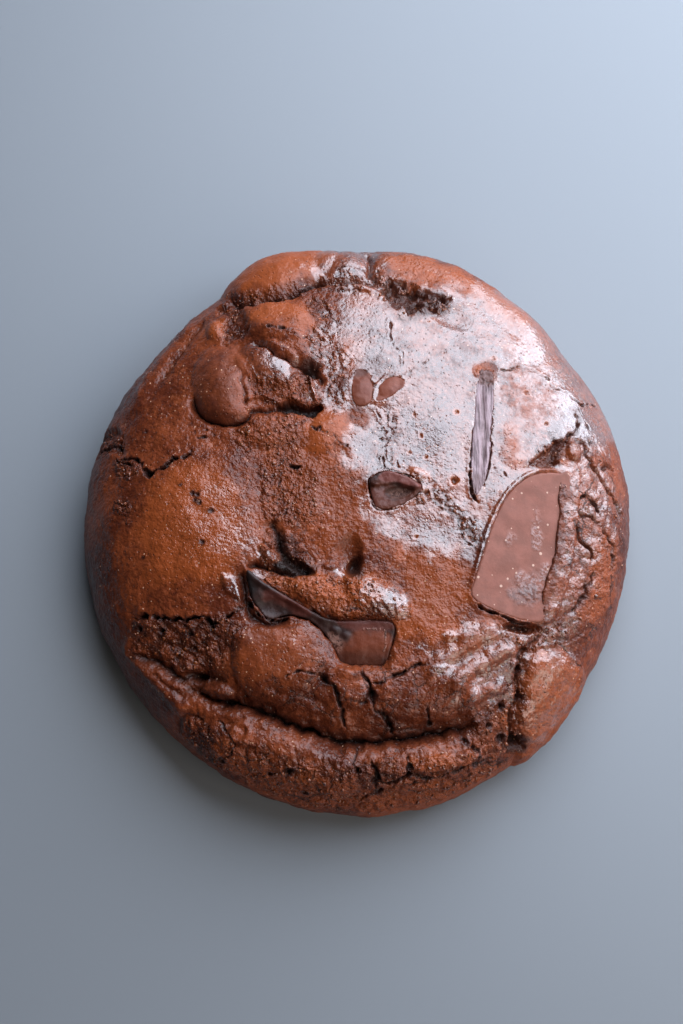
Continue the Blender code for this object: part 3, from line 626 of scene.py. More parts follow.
skin.crumble("5.4,18 7.2,15 6,11 7.6,7.4 12.6,4.6 11.6,3 6,5.6 3.6,7 4,12", 0.26, 1.0, 157, 0.3, soft=0.8)
skin.pore("17.6,16.9 11.2,12.4 10.1,16.4 33.9,15.7 30.4,21.5 24.6,27.8 12.9,35 9.2,9.2 12,8.4 10.1,-6.1 "
          "12.2,1.9", 0.36, 0.4)
skin.pore("17.1,4.1", 0.62, 0.8)


def buried(outline, right, back):
    """How far places lie outside an outline with straight sides, negative inside it."""
    best, inside = np.full(len(right), np.inf), np.zeros(len(right), bool)
    for start, end in zip(outline, np.roll(outline, -1, axis=0)):
        step = end - start
        off = right - start[0], back - start[1]
        part = np.clip((off[0] * step[0] + off[1] * step[1]) / step.dot(step), 0, 1)
        best = np.minimum(best, np.hypot(off[0] - part * step[0], off[1] - part * step[1]))
        if step[1]:
            crosses = (start[1] > back) != (end[1] > back)
            inside ^= crosses & (right < start[0] + (back - start[1]) * step[0] / step[1])
    return np.where(inside, -best, best)


def face_plane(outline, lean):
    """A middle point and the unit normal of the flat face of a piece of chocolate."""
    on_crust = even_surface(*outline.T)
    middle = on_crust.mean(axis=0)
    normal = np.linalg.svd(on_crust - middle)[2][2]
    normal *= np.sign(normal[2])
    turn = math.radians(lean)
    back = normal[1] * math.cos(turn) - normal[2] * math.sin(turn)
    up = normal[1] * math.sin(turn) + normal[2] * math.cos(turn)
    return middle, np.array([normal[0], back, up])


# Beds of the chocolate: outline on the map, rise of the face above the even crust, its
# slope to the front in degrees, and how far the crust laps over the edge of the face
BEDS = {
    "chocolate_slab": (
        "37.6,6.2 35.6,6.3 33.6,6.3 31.6,5.9 29.4,4.8 26.8,2.4 24.6,-1.2 23,-5 21.5,-9.6 20.3,-13.2 "
        "19.5,-16 20.4,-17.4 22.6,-18.6 26,-19.9 30.6,-20.8 32.4,-20.2 33.4,-18 35,-14 36.4,-7 37.6,0",
        0.4, 0.0, 0.3),
    "chocolate_shard": (
        "-19.2,-12.6 -18.8,-15.6 -18,-18 -16.2,-20.2 -15,-20.7 -13.2,-20.3 -11.4,-20.1 -8.5,-20.9 "
        "-6.6,-22.4 -5,-24.2 -3.8,-26.4 -3.2,-28 -1,-28.6 4.4,-28.6 5.2,-27.4 6,-25 6.5,-22.4 5.8,-21.2 "
        "4,-20.9 0.5,-20.8 -3.4,-20.9 -6.3,-20.2 -8.8,-18.9 -11.3,-17.5 -14,-16 -16.8,-14.3", -0.4, 14.0,
        0.05),
    "chocolate_wedge": (
        "1.9,4 2.1,2.6 2.5,0.8 3,-0.7 4.2,-1.1 5.4,-1.1 7.8,-0.3 10.2,1.3 11.2,2.8 10.8,3.5 8.2,4.7 "
        "5.4,5.5 3.4,5", 0.5, 8.0, 0.0),
    "chocolate_bar": (
        "20.6,1.6 21.5,2.2 22.4,4 23,6.8 23.5,10 24,15 24.4,20 24.4,24.4 23.5,25.3 21.8,25.1 21.2,22 "
        "20.8,17 20.2,10 20,5", 0.2, 0.0, 0.3),
    "chocolate_nib_left": (
        "-1.2,21 -0.9,18.9 0,17.9 1.4,17.9 2.5,18.8 2.9,20.4 2.9,22.2 2.2,24.2 1,25.2 -0.4,25 -1,23.4",
        0.1, 0.0, 0.5),
    "chocolate_nib_right": (
        "3.2,19 4,18.7 5.6,19.5 7.2,20.6 8.4,21.7 8.4,22.9 6.9,23.6 5,23 3.6,21.4",
        0.25, 0.0, 0.3),
}
BED_DEPTH = 1.3  # below the face of the chocolate
BED_MARGIN = 1.4  # how far round a piece the crust bends to it
for text, rise, lean, lap in BEDS.values():
    outline = places(text)
    who = skin.near(outline, 1.5)
    right, back = skin.across[who], skin.away[who]
    outside = buried(outline, right, back) + lap + 0.22 * rough(right, back, 1.6, 60, 3)
    middle, normal = face_plane(outline, lean)
    above = (even_surface(right, back) - middle) @ normal
    under = soft_step(0.5 - outside / 0.4)
    floor = np.minimum(rise - BED_DEPTH - above, skin.height[who])
    near_face = soft_step(1 - outside / BED_MARGIN) * (1 - under)
    level = rise + 0.15 - above
    skin.height[who] += (level - skin.height[who]) * 0.6 * near_face
    skin.height[who] += (floor - skin.height[who]) * under
    # Painted shade under the edge of a piece, as crumb and hollow marks
    skin.mark("crumb", who, under)
    skin.mark("hollow", who, soft_step(-outside / 0.4))

# Gaps where a piece shrank from the crust, painted dark inside as shade, and thin crust that laps over an
# edge
skin.tear("20.5,14 20.4,11 20.1,8.8 19.8,5.6 19.9,2.6 20.6,0.8 21.4,0", 0.32, 1.3, 0.15, 161, gape=1.0)
skin.tear("23.7,12.6 23.5,9.6 23.1,7 22.6,4.8 21.9,3", 0.26, 1.2, 0.15, 162, gape=1.0)
skin.tear("2.4,5 1.9,3.8 2.1,1.6 2.7,-0.8 4.2,-1.4 6.2,-1.2 8.6,0", 0.15, 0.7, 0.15, 165, gape=0.9)
skin.tear("4.6,6.2 5.6,6 8.2,5.2 10.6,3.9 11.8,3.7", 0.15, 0.6, 0.15, 166, gape=0.8)
skin.tear("4.4,8.8 4.6,7.2 4.8,6", 0.18, 0.7, 0.15, 167, gape=0.9)
skin.swell((10.6, 5.4), (2.0, 1.1), -30, 0.7, 0.9)
skin.paint("gold", "8.6,5.6 11,5 12.6,4.2 12,6 9.6,7", 0.9, 1.0, 0.6, 172)
skin.ease("shine", "8.6,5.6 11,4.6 12.8,4 12,6.2 9.6,7.2", 0.9, 1.0, 0.8, 173)
skin.tear("-19.4,-17 -17.6,-19.4 -16,-20.6 -14,-20.8 -11.6,-20.4", 0.42, 1.5, 0.2, 168, gape=1.0)
skin.tear("-19,-12.4 -17,-13.5 -14,-15.7 -11.2,-17.2 -8.6,-18.6 -6.2,-19.9 -3.4,-20.6 -0.6,-20.6", 0.16,
          0.6, 0.2, 169, gape=0.8)
skin.tear("20,-17.4 22,-18.8 24.4,-19.6 27,-20.6 30.4,-21.2", 0.3, 1.4, 0.15, 170, gape=1.0)
skin.tear("36.8,4 36,0.6 35.4,-1.4 34.6,-4 35.2,-6.4", 0.2, 0.8, 0.25, 171, gape=0.8)
lip = "19.8,-13.8 21.2,-9.4 22.7,-4.6 24.4,-0.8 26.6,2.6 29.3,5.2 31.8,6.4 34.6,6.8 37.4,6.7"
skin.ridge(lip, 0.5, 0.35)
skin.ridge("2.8,18.6 2.9,20.6 3.8,22.4 5.2,23.6 6.8,24 8.6,24.6 9.6,25.6", 0.3, 0.16)
lapping = ("33.6,-20.6 32.2,-20.2 31.9,-18 32.4,-14.5 33.6,-11 34.6,-8 35,-5 35.4,-2 35.5,2 35.5,5 "
           "36.2,8 39.4,8 39,0 38,-8 36,-16")
who, share = skin.patch(lapping, 0.4, 0.25, 62)
over = 0.5 + 0.12 * rough(skin.across[who], skin.away[who], 1.1, 63, 3)
skin.height[who] += (np.clip(skin.height[who], over, over + 0.3) - skin.height[who]) * share
skin.marks["hollow"][who] *= 1 - share
skin.marks["crumb"][who] *= 1 - 0.6 * share

# The glaze is thickest on the back right, and on skin that a fold pulled tight
skin.paint("shine", "-8,47 -3.5,40 -4.5,33 -2.6,27 -3,20 0.5,16 -3,11 0,4 1.6,-3 7,-8 14,-9.5 22,-9 "
           "24,-2 31,6.6 38,13 47,12 52,22 44,36 30,46 17,42 6,44.5", 1.0, 3.5, 2.2, 3)
skin.paint("shine", "-20.2,30.6 -18,30.6 -14.8,28 -11.4,26.2 -12.4,23.4 -16.1,22.6 -19.2,25.6", 1.5, 2.4,
           1.6, 4)
skin.paint("shine", "20.6,-12 22,-4 26,3.4 31,7.4 38,7.6 38,6.6 31.8,6.2 24.8,-1 21.2,-12", 1.2, 0.6, 0.2,
           44)
skin.paint("shine", "-7,45 -8,50 -3,55 4,54 5.4,44 0,40", 0.9, 2.5, 1.5, 5)
skin.paint("shine", "1,-14 5,-14.6 8.6,-17.6 8.4,-20.6 3,-20.4 0,-17.6", 1.0, 1.5, 1.2, 6)
skin.paint("shine", "-23,-4 -18,-5 -14.6,-9.6 -16,-12 -20,-11", 0.75, 2.4, 4.0, 7)
skin.paint("shine", "8,9 12,20 19,22 21,12 19,4 13,4", 1.9, 4.0, 2.0, 48)
skin.paint("shine", "36,18 42,26 38,35 31,41 37,41 46,30 49,20 44,14", 1.0, 3.0, 2.0, 50)
skin.paint("shine", "-23.6,-12.6 -21.6,-12.8 -19.8,-16.6 -21.6,-17", 1.0, 1.2, 0.6, 8)
skin.paint("shine", "12,-27 18,-21 27,-21 36,-19.6 40,-24 33,-27.6 28.6,-33.6 18,-33", 0.75, 3.0, 3.4, 9)
skin.paint("shine", "22,-33 24,-30.6 28.6,-29 30,-36 27,-38 23.6,-36", 0.5, 1.4, 2.0, 51)
skin.paint("shine", "-10,-41.6 2,-43 12,-41.8 21,-41.4 20,-44.6 4,-46 -8,-44.2", 0.2, 2.0, 3.0, 10)
skin.paint("shine", "37,14 44,12 49,2 44,-8 37,-20 34,-18 36,-4", 0.65, 3.0, 3.0, 11)
skin.paint("shine", "-8,26 -2,28 -1,17 -7,18", 0.8, 3.0, 3.0, 47)
skin.paint("shine", "-12,-22.4 -6,-24 -8,-30 -15,-28", 0.5, 3.0, 2.0, 12)
skin.paint("shine", "-4,-11.6 -0.8,-11.2 0.6,-13.2 -3.2,-13.4", 1.0, 0.8, 0.5, 13)

# The grain of the whole skin, smoothest where it is glazed
calm = 1 - 0.8 * np.clip(skin.marks["shine"], 0, 1)
skin.height += 0.14 * calm * rough(skin.across, skin.away, 3.0, 6, 4)
skin.height += (0.01 + 0.08 * skin.marks["grit"]) * rough(skin.across, skin.away, 0.9, 8, 2)

skin.ease("shine", "25.6,15 27.6,15 28.4,11 29.8,7.6 27.6,6.6 26.2,9", 0.4, 1.6, 1.5, 45)
skin.ease("shine", "21.2,26.6 24.6,26.6 24.4,23.6 21.4,23.6", 0.8, 0.9, 0.7, 46)
skin.ease("shine", "25,25 34,25 36,18 28,16", 0.25, 3.0, 2.0, 54)
for seed, satin_patch, amount in (
    (14, "-32,4 -24,5 -17,-1 -20,-12 -28,-12 -34,-3", 0.5),
    (16, "-20,-23 -8,-23 -6,-29 -14,-32 -20,-28", 0.3),
    (17, "-6,36 -4,38 -2,30 -4,20 -7,22 -8,30", 0.85),
    (18, "30,-28 38,-27 40,-34 33,-43 29,-38", 0.85),
    (19, "6,45 14,47 26,42 34,36 32,33 18,40", 0.45),
    (20, "-8,47 -12,44 -12,47 -9,50", 0.6),
):
    skin.paint("shine", satin_patch, amount, 4.0, 2.5, seed)

# Thin skin shows more orange, thick moist skin more brown; where marked below, a patch is also painted
# light on a lit slope
for seed, outline, amount in (
    (21, "-24,45 -22,51 -12,55 -6,54 -8,46 -15,42", 0.9),
    (22, "-19.5,35.5 -15,38.8 -9,37.6 -8,32.6 -13,33.4", 0.9),
    (23, "-24,26 -21,27 -20.4,18 -25,17.4", 0.35),
    (24, "6,46 8,52 22,47 32,39 29,36 18,42", 0.8),
    # Part orange skin, part painted light on the lit top of the left swelling
    (25, "-34,6 -24,6 -20,-4 -24,-14 -36,-12 -38,-2", 0.8),
    (26, "-17.5,-13.4 -8,-12.6 1,-13.4 5,-15 0,-19.6 -9,-17", 1.0),
    (27, "-8.4,15 -4.6,17.4 -1.6,16 -2.4,11 -7,8.4 -9.6,9.4", 0.9),
    (28, "7,-8 18,-10 19,-17 14,-25 7,-22 9,-15", 0.8),
    (29, "-18,-22.6 -10,-22.6 -7,-28 -12,-31 -19,-28", 0.4),
    (30, "24,-35.5 27,-36 27,-39 24,-39", 0.7),
    # Part orange skin, part painted light on the lobe at the front right
    (31, "29,-28 38,-27 42,-34 36,-46 29,-44", 0.8),
    (32, "9.6,-43.8 14,-42.8 21.4,-43.2 16,-45.4 9.8,-46.2", 0.8),
    # These two: part orange skin, part painted light on the front of the rolled rim
    (36, "-26,-42 -14,-45 -2,-47 2,-53 -8,-58 -20,-54", 0.9),
    (37, "2,-49.6 10,-48.6 24,-47 32,-48 14,-60 2,-60", 1.0),
    (33, "42,-2 48,-4 48,-16 42,-20 41,-12", 0.5),
    (38, "25.6,15 27.6,15 28.4,11 29.8,7.6 27.6,6.6 26.2,9", 0.8),
    (39, "21.4,26.4 24.4,26.4 24.2,24.4 21.4,24.4", 0.9),
    (34, "-27.8,35.6 -25,36.4 -24.2,33.6 -27,32.8", 0.9),
    (35, "-3,30 2,29 1,26 -1.4,25.4", 0.7),
    (40, "-17,12 -4,12 1,5 3,-5 -2,-9 -7,-8 -13,0", 0.4),
):
    skin.paint("gold", outline, amount, 3.0, 1.8, seed)
# Painted shade on the far left of the front, which faces away from the light
skin.paint("crumb", "-52,-4 -46,-6 -42,-14 -39,-22 -34,-34 -42,-38 -54,-20", 0.5, 5.0, 2.0, 52)
skin.paint("crumb", "8,-9 18,-11 19,-17 14,-22 8,-19", 0.22, 4.0, 2.0, 53)


# Sleek places, where the skin stretched over a lump without breaking
for outline, amount in (
    ("-29.6,22.8 -28.8,26.4 -26.4,29.6 -23.4,31 -20.6,29.6 -20,22 -20.6,17 -24.7,14.8 -28.4,17", 0.95),
    ("-22,36 -16,39 -9,37.6 -8,32.6 -13,32.4 -20,33", 0.5),
    ("-26,46 -22,53 -8,56 -5,47 -15,42", 0.7),
    ("-8.4,15 -4.6,17.4 -1.6,16 -2.4,11 -7,8.4 -9.6,9.4", 0.3),
    ("-19,-23 -10,-22.6 -6.6,-28 -12,-31 -19,-28.6", 0.6),
):
    skin.ease("grit", outline, amount, 2.0, 0.8, 51)


def blurred(values, reach):
    """A field averaged over squares of the grid, reach cells each way, twice over."""
    field = values.reshape(CRUST_CELLS + 1, CRUST_CELLS + 1)
    for axis in (0, 1, 0, 1):
        padded = np.pad(field, [(reach + 1, reach) if axis == k else (0, 0) for k in (0, 1)], mode="edge")
        total = np.cumsum(padded, axis=axis)
        high = np.take(total, range(2 * reach + 1, total.shape[axis]), axis=axis)
        low = np.take(total, range(0, total.shape[axis] - 2 * reach - 1), axis=axis)
        field = (high - low) / (2 * reach + 1)
    return field.ravel()


for outline, amount in (
    ("-2,30 20,36 38,30 44,22 38,14 27,8 10,10 0,20", 0.25),
    ("37,14 46,14 52,0 46,-22 36,-20 37,0", 1.0),
    ("-30,-38 -10,-44 8,-45 26,-42 26,-52 0,-58 -24,-50", 1.0),
    ("-20,-30 -5,-29 18,-30 20,-38 0,-40 -18,-36", 0.8),
    ("-20,14 -2,14 -2,-6 -14,-4", 0.4),
):
    skin.paint("crazed", outline, amount, 4.0, 3.0, 41)

# Painted shade: whatever lies below the average height round it is marked darker, the deeper the darker
HOLLOW_CELLS = round(CRUST_CELLS / 70)  # depth is measured from the average this far round
sunk = blurred(skin.height, HOLLOW_CELLS) - skin.height
skin.mark("hollow", slice(None), 0.8 * soft_step((sunk - 0.35) / 1.4))
skin.mark("crumb", slice(None), 0.7 * soft_step((sunk - 0.3) / 1.0))
skin.marks["hollow"] = blurred(skin.marks["hollow"], 1)


def mesh_from(name, points, faces):
    """A mesh object from points in metres and an array of faces with equal corners."""
    mesh = bpy.data.meshes.new(name)
    faces = np.asarray(faces, np.int32)
    mesh.vertices.add(len(points))
    mesh.vertices.foreach_set("co", np.asarray(points, np.float32).ravel())
    mesh.loops.add(faces.size)
    mesh.loops.foreach_set("vertex_index", faces.ravel())
    mesh.polygons.add(len(faces))
    mesh.polygons.foreach_set("loop_start", np.arange(0, faces.size, faces.shape[1], dtype=np.int32))
    mesh.update(calc_edges=True)
    made = bpy.data.objects.new(name, mesh)
    bpy.context.collection.objects.link(made)
    return made


def keep_result(made):
    """Turns what an object's modifiers give into its plain mesh, and removes the modifiers."""
    graph = bpy.context.evaluated_depsgraph_get()
    result = bpy.data.meshes.new_from_object(made.evaluated_get(graph))
    made.modifiers.clear()
    made.data = result


def mark_vertices(made, marks):
    """Keeps marks for a material on the vertices of a mesh."""
    for kind, values in marks.items():
        layer = made.data.attributes.new(kind, "FLOAT", "POINT")
        full = np.zeros(len(made.data.vertices), np.float32)
        full[: len(values)] = values
        layer.data.foreach_set("value", full)


def on_table(points):
    """Points in metres, with the middle of the footprint at the origin."""
    return (np.asarray(points) - (*MIDDLE, 0.0)) * MM


def raised(skin, loose=1.0):
    """Points in mm of the even surface with the relief of a skin on it."""
    right, back, out = surface_axes(skin.across, skin.away)
    lift = skin.height * loose
    slide = skin.slide * np.reshape(loose, (-1, 1))
    sideways = right * slide[:, :1] + back * slide[:, 1:]
    return even_surface(skin.across, skin.away) + out * lift[:, None] + sideways


loose = np.clip((REACH - np.hypot(skin.across, skin.away) / stretch) / FOOT_FADE, 0, 1)
points = raised(skin, loose)
row = CRUST_CELLS + 1
edge = np.array([*range(row), *(k * row + CRUST_CELLS for k in range(1, row)),
                 *(row * row - 1 - k for k in range(1, row)),
                 *(k * row for k in range(CRUST_CELLS - 1, 0, -1))])
points[edge, 2] = 0.0
corner = (np.arange(CRUST_CELLS)[:, None] * row + np.arange(CRUST_CELLS)).ravel()
faces = np.stack([corner, corner + 1, corner + row + 1, corner + row], axis=1)

# The base: flat where it lay on the baking paper, with shallow blisters
BASE_RINGS = 60
share = np.linspace(1.0, 0.01, BASE_RINGS + 1)[1:]
rings = np.concatenate([points[edge] * (s, s, 0.0) for s in share])
blister = np.clip(rough(rings[:, 0], rings[:, 1], 4.0, 3, 4), 0, 1) ** 1.5
rings[:, 2] = 0.5 * blister * np.clip((1 - np.repeat(share, len(edge))) * 14, 0, 1)
ids = np.concatenate([[edge], len(points) + np.arange(len(rings)).reshape(BASE_RINGS, -1)])
after = np.roll(ids, -1, axis=1)
under = np.stack([ids[:-1], ids[1:], after[1:], after[:-1]], axis=-1).reshape(-1, 4)
crust = mesh_from("crust", on_table(np.concatenate([points, rings])), np.concatenate([faces, under]))
mark_vertices(crust, skin.marks)
shape = bmesh.new()
shape.from_mesh(crust.data)
shape.verts.ensure_lookup_table()
shape.faces.new([shape.verts[int(k)] for k in ids[-1][::-1]])
bmesh.ops.recalc_face_normals(shape, faces=shape.faces)
shape.to_mesh(crust.data)
shape.free()
thin = crust.modifiers.new("thin", "DECIMATE")
thin.ratio = CRUST_TRIANGLES / (2 * len(crust.data.polygons))
keep_result(crust)
crust.data.shade_smooth()


def hex_colour(text):
    """Linear red, green and blue of an sRGB hex colour."""
    values = [int(text[k : k + 2], 16) / 255 for k in (1, 3, 5)]
    return (*(v / 12.92 if v <= 0.04045 else ((v + 0.055) / 1.055) ** 2.4 for v in values), 1.0)


def plug(tree, node, given):
    """Gives a node's inputs, by name or in the order that it shows them, a value, a hex
    colour, another node's output, or another node, which means its first output."""
    shown = [socket for socket in node.inputs if socket.enabled]
    if isinstance(given, dict):
        shown, given = [node.inputs[name] for name in given], given.values()
    for socket, value in zip(shown, given):
        if isinstance(value, bpy.types.Node):
            value = next(output for output in value.outputs if output.enabled)
        if isinstance(value, bpy.types.NodeSocket):
            tree.links.new(value, socket)
        elif isinstance(value, str) and value.startswith("#"):
            socket.default_value = hex_colour(value)
        else:
            socket.default_value = value


def add(tree, kind, given=(), **settings):
    """Adds a node to a tree, with its settings and with what its inputs are given."""
    made = tree.nodes.new(kind)
    for name, value in settings.items():
        setattr(made, name, value)
    plug(tree, made, given)
    return made


def per_metre(size):
    """Scale of a pattern whose features are a size in mm apart, on coordinates in metres."""
    return 1 / (size * MM)


def new_material(name):
    """A named material with its node tree, its shader and coordinates fixed to the piece."""
    made = bpy.data.materials.new(name)
    made.use_nodes = True
    tree = made.node_tree
    return made, tree, tree.nodes["Principled BSDF"], add(tree, "ShaderNodeTexCoord").outputs["Object"]


# Dried sugar skin over brownie crumb: satin, IOR 1.42, roughness 0.22 to 0.6, rougher when
# gritty, deep or low on the side. Where the shine mark says so a hard clear glaze of sugar
# and cocoa fat lies on it, as a coat with IOR 2.05 and roughness 0.24
baked, tree, shader, place = new_material("baked brownie skin")
mark = {kind: add(tree, "ShaderNodeAttribute", attribute_name=kind).outputs["Fac"] for kind in skin.marks}

# Noise is given its place, scale, detail and roughness; a Map Range its value and the low and
# high that become 0 and 1, or what follows them; a Mix its share and what it mixes
SMOOTH = {"interpolation_type": "SMOOTHSTEP"}
COLOURS = {"data_type": "RGBA"}

wide = add(tree, "ShaderNodeTexNoise", (place, per_metre(9.0), 6.0, 0.6))
grains = add(tree, "ShaderNodeTexNoise", (place, per_metre(1.0), 6.0, 0.72))
both = add(tree, "ShaderNodeMix", (0.4, wide, grains))
patches = add(tree, "ShaderNodeMapRange", (both, 0.4, 0.62), **SMOOTH)
colour = add(tree, "ShaderNodeMix", (patches, "#5a2717", "#894122"), **COLOURS)
colour = add(tree, "ShaderNodeMix", (mark["gold"], colour, "#9a4a23"), **COLOURS)
# The crumb mark: moist crumb colour, and painted shade along creases and in deep places
colour = add(tree, "ShaderNodeMix", (mark["crumb"], colour, "#461f15"), **COLOURS)
light_grain, dark_grain = (0.56, 0.74, 0.25, 0.85, "#b87050"), (0.46, 0.3, 0.3, 0.8, "#32150e")
for low, high, least, most, tint in (light_grain, dark_grain):
    seen = add(tree, "ShaderNodeMapRange", (grains, low, high), **SMOOTH)
    level = add(tree, "ShaderNodeMapRange", (mark["grit"], 0.0, 1.0, least, most), **SMOOTH)
    share = add(tree, "ShaderNodeMath", (seen, level), operation="MULTIPLY")
    colour = add(tree, "ShaderNodeMix", (share, colour, tint), **COLOURS)

# Hair cracks round plates of about 4 mm, open where the crazed mark and some clouds let them
wander = add(tree, "ShaderNodeTexNoise", (place, per_metre(1.6), 5.0, 0.7)).outputs["Color"]
bent = add(tree, "ShaderNodeVectorMath", (wander, (0.5, 0.5, 0.5)), operation="SUBTRACT")
bent = add(tree, "ShaderNodeVectorMath", (bent, 2.2 * MM), operation="SCALE")
bent = add(tree, "ShaderNodeVectorMath", (bent, place), operation="ADD")
plates = add(tree, "ShaderNodeTexVoronoi", (bent, per_metre(4.0)), feature="DISTANCE_TO_EDGE")
clouds = add(tree, "ShaderNodeTexNoise", (place, per_metre(6.0), 3.0, 0.6))
open_here = add(tree, "ShaderNodeMapRange", (clouds, 0.45, 0.6), **SMOOTH)
open_here = add(tree, "ShaderNodeMath", (open_here, mark["crazed"]), operation="MULTIPLY")
hairs = add(tree, "ShaderNodeMapRange", (plates, 0.045, 0.01), **SMOOTH)
hairs = add(tree, "ShaderNodeMath", (hairs, open_here), operation="MULTIPLY")
# Painted shade: the hair cracks are darkened inside
dark_hairs = add(tree, "ShaderNodeMath", (hairs, 0.85), operation="MULTIPLY")
colour = add(tree, "ShaderNodeMix", (dark_hairs, colour, "#2a120b"), **COLOURS)
# Painted shade where the hollow mark lies: in creases, cracks, pores and deep places
colour = add(tree, "ShaderNodeMix", (mark["hollow"], colour, "#200d07"), **COLOURS)

# Fine relief: cobbles of 0.75 mm, grit, pits 1 mm apart and the hair cracks, softer on the glaze
pits = add(tree, "ShaderNodeTexVoronoi", (place, per_metre(1.0)))
pits = add(tree, "ShaderNodeMapRange", (pits, 0.06, 0.24), **SMOOTH)
dents = add(tree, "ShaderNodeMath", (pits, hairs), operation="SUBTRACT")
cobbles = add(tree, "ShaderNodeTexVoronoi", (place, per_metre(0.75)))
cobbles = add(tree, "ShaderNodeMath", (cobbles, 0.25), operation="MULTIPLY")
grit_level = add(tree, "ShaderNodeMapRange", (mark["grit"], 0.0, 1.0, 0.25, 1.3), **SMOOTH)
coarse = add(tree, "ShaderNodeTexNoise", (place, per_metre(1.5), 2.0, 0.6))
coarse = add(tree, "ShaderNodeMath", (coarse, cobbles), operation="SUBTRACT")
coarse = add(tree, "ShaderNodeMath", (coarse, grit_level), operation="MULTIPLY")
fine = add(tree, "ShaderNodeTexNoise", (place, per_metre(0.55), 2.0, 0.55))
gritty = add(tree, "ShaderNodeMath", (fine, grit_level), operation="MULTIPLY")
lumps = add(tree, "ShaderNodeBump", {"Height": coarse, "Strength": 1.0, "Distance": 0.45 * MM})
lumps = add(tree, "ShaderNodeBump",
            {"Height": gritty, "Normal": lumps, "Strength": 1.0, "Distance": 0.3 * MM})
lumps = add(tree, "ShaderNodeBump",
            {"Height": dents, "Normal": lumps, "Strength": 0.8, "Distance": 0.12 * MM})
calmed = add(tree, "ShaderNodeMapRange", (mark["shine"], 0.2, 0.9, 1.3, 0.3), **SMOOTH)
waves = add(tree, "ShaderNodeMath", (fine, 0.7, coarse), operation="MULTIPLY_ADD")
waves = add(tree, "ShaderNodeMath", (waves, calmed), operation="MULTIPLY")
ripple = add(tree, "ShaderNodeBump", {"Height": waves, "Strength": 1.0, "Distance": 0.35 * MM})
ripple = add(tree, "ShaderNodeBump",
             {"Height": dents, "Normal": ripple, "Strength": 0.8, "Distance": 0.07 * MM})

# Roughness: cloudy, more in hollows, where there is no grit, and low on the side
satin = add(tree, "ShaderNodeMapRange", (wide, 0.3, 0.7, 0.22, 0.32), **SMOOTH)
satin = add(tree, "ShaderNodeMath", (mark["hollow"], 0.25, satin), operation="MULTIPLY_ADD")
height = add(tree, "ShaderNodeSeparateXYZ", (place,)).outputs["Z"]
for value, low, high, most in ((mark["grit"], 0.35, 0.1, 0.12), (height, 14 * MM, 5 * MM, 0.28)):
    more = add(tree, "ShaderNodeMapRange", (value, low, high, 0.0, most), **SMOOTH)
    satin = add(tree, "ShaderNodeMath", (satin, more), operation="ADD")

# The glaze: patchy, and gone from crumb, hollows and hair cracks
patchy = add(tree, "ShaderNodeTexNoise", (place, per_metre(3.0), 8.0, 0.75))
patchy = add(tree, "ShaderNodeMapRange", (patchy, 0.62, 0.4), **SMOOTH)
glaze = add(tree, "ShaderNodeMath", (patchy, 0.5, mark["shine"]), operation="MULTIPLY_ADD")
glaze = add(tree, "ShaderNodeMapRange", (glaze, 0.5, 1.4), **SMOOTH)
matt = add(tree, "ShaderNodeMath", (hairs, 0.7, mark["hollow"]), operation="MULTIPLY_ADD")
matt = add(tree, "ShaderNodeMath", (mark["crumb"], 0.7, matt), operation="MULTIPLY_ADD")
matt = add(tree, "ShaderNodeMapRange", (matt, 0.0, 1.0, 1.0, 0.0), **SMOOTH)
glaze = add(tree, "ShaderNodeMath", (glaze, matt), operation="MULTIPLY")

# Sugar, 1.2 mm apart: pale crystals painted bright as glints, and holes that one fell out of, painted dark
# as shade
sugar = add(tree, "ShaderNodeTexVoronoi", (place, per_metre(1.2)))
some = add(tree, "ShaderNodeSeparateColor", (sugar.outputs["Color"],))
crystal_glint, shaded_hole = (0.13, 0.07, 0.5, 0.85, "#e0ad8e"), (0.14, 0.08, 0.4, 0.8, "#2a110b")
for width, edge, chosen, amount, tint in (crystal_glint, shaded_hole):
    specks = add(tree, "ShaderNodeMapRange", (sugar, width, edge), **SMOOTH)
    few = add(tree, "ShaderNodeMapRange", (some, 0.45, chosen), **SMOOTH)
    specks = add(tree, "ShaderNodeMath", (specks, few), operation="MULTIPLY")
    share = add(tree, "ShaderNodeMath", (specks, amount), operation="MULTIPLY")
    colour = add(tree, "ShaderNodeMix", (share, colour, tint), **COLOURS)
unbroken = add(tree, "ShaderNodeMath", (1.0, specks), operation="SUBTRACT")
glaze = add(tree, "ShaderNodeMath", (glaze, unbroken), operation="MULTIPLY")
plug(tree, shader, {"Base Color": colour, "Roughness": satin, "IOR": 1.42, "Normal": lumps})
plug(tree, shader, {"Coat Weight": glaze, "Coat Roughness": 0.24, "Coat IOR": 2.05, "Coat Normal": ripple})
crust.data.materials.append(baked)
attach(crust, "root")
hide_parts("cookie_body")

# ---------------------------------------------------------------- loose crumbs
# Moist crumbs broken off where the skin tore, stuck to the torn places: lumps of 0.3 to
# 1 mm, of the same baked dough.


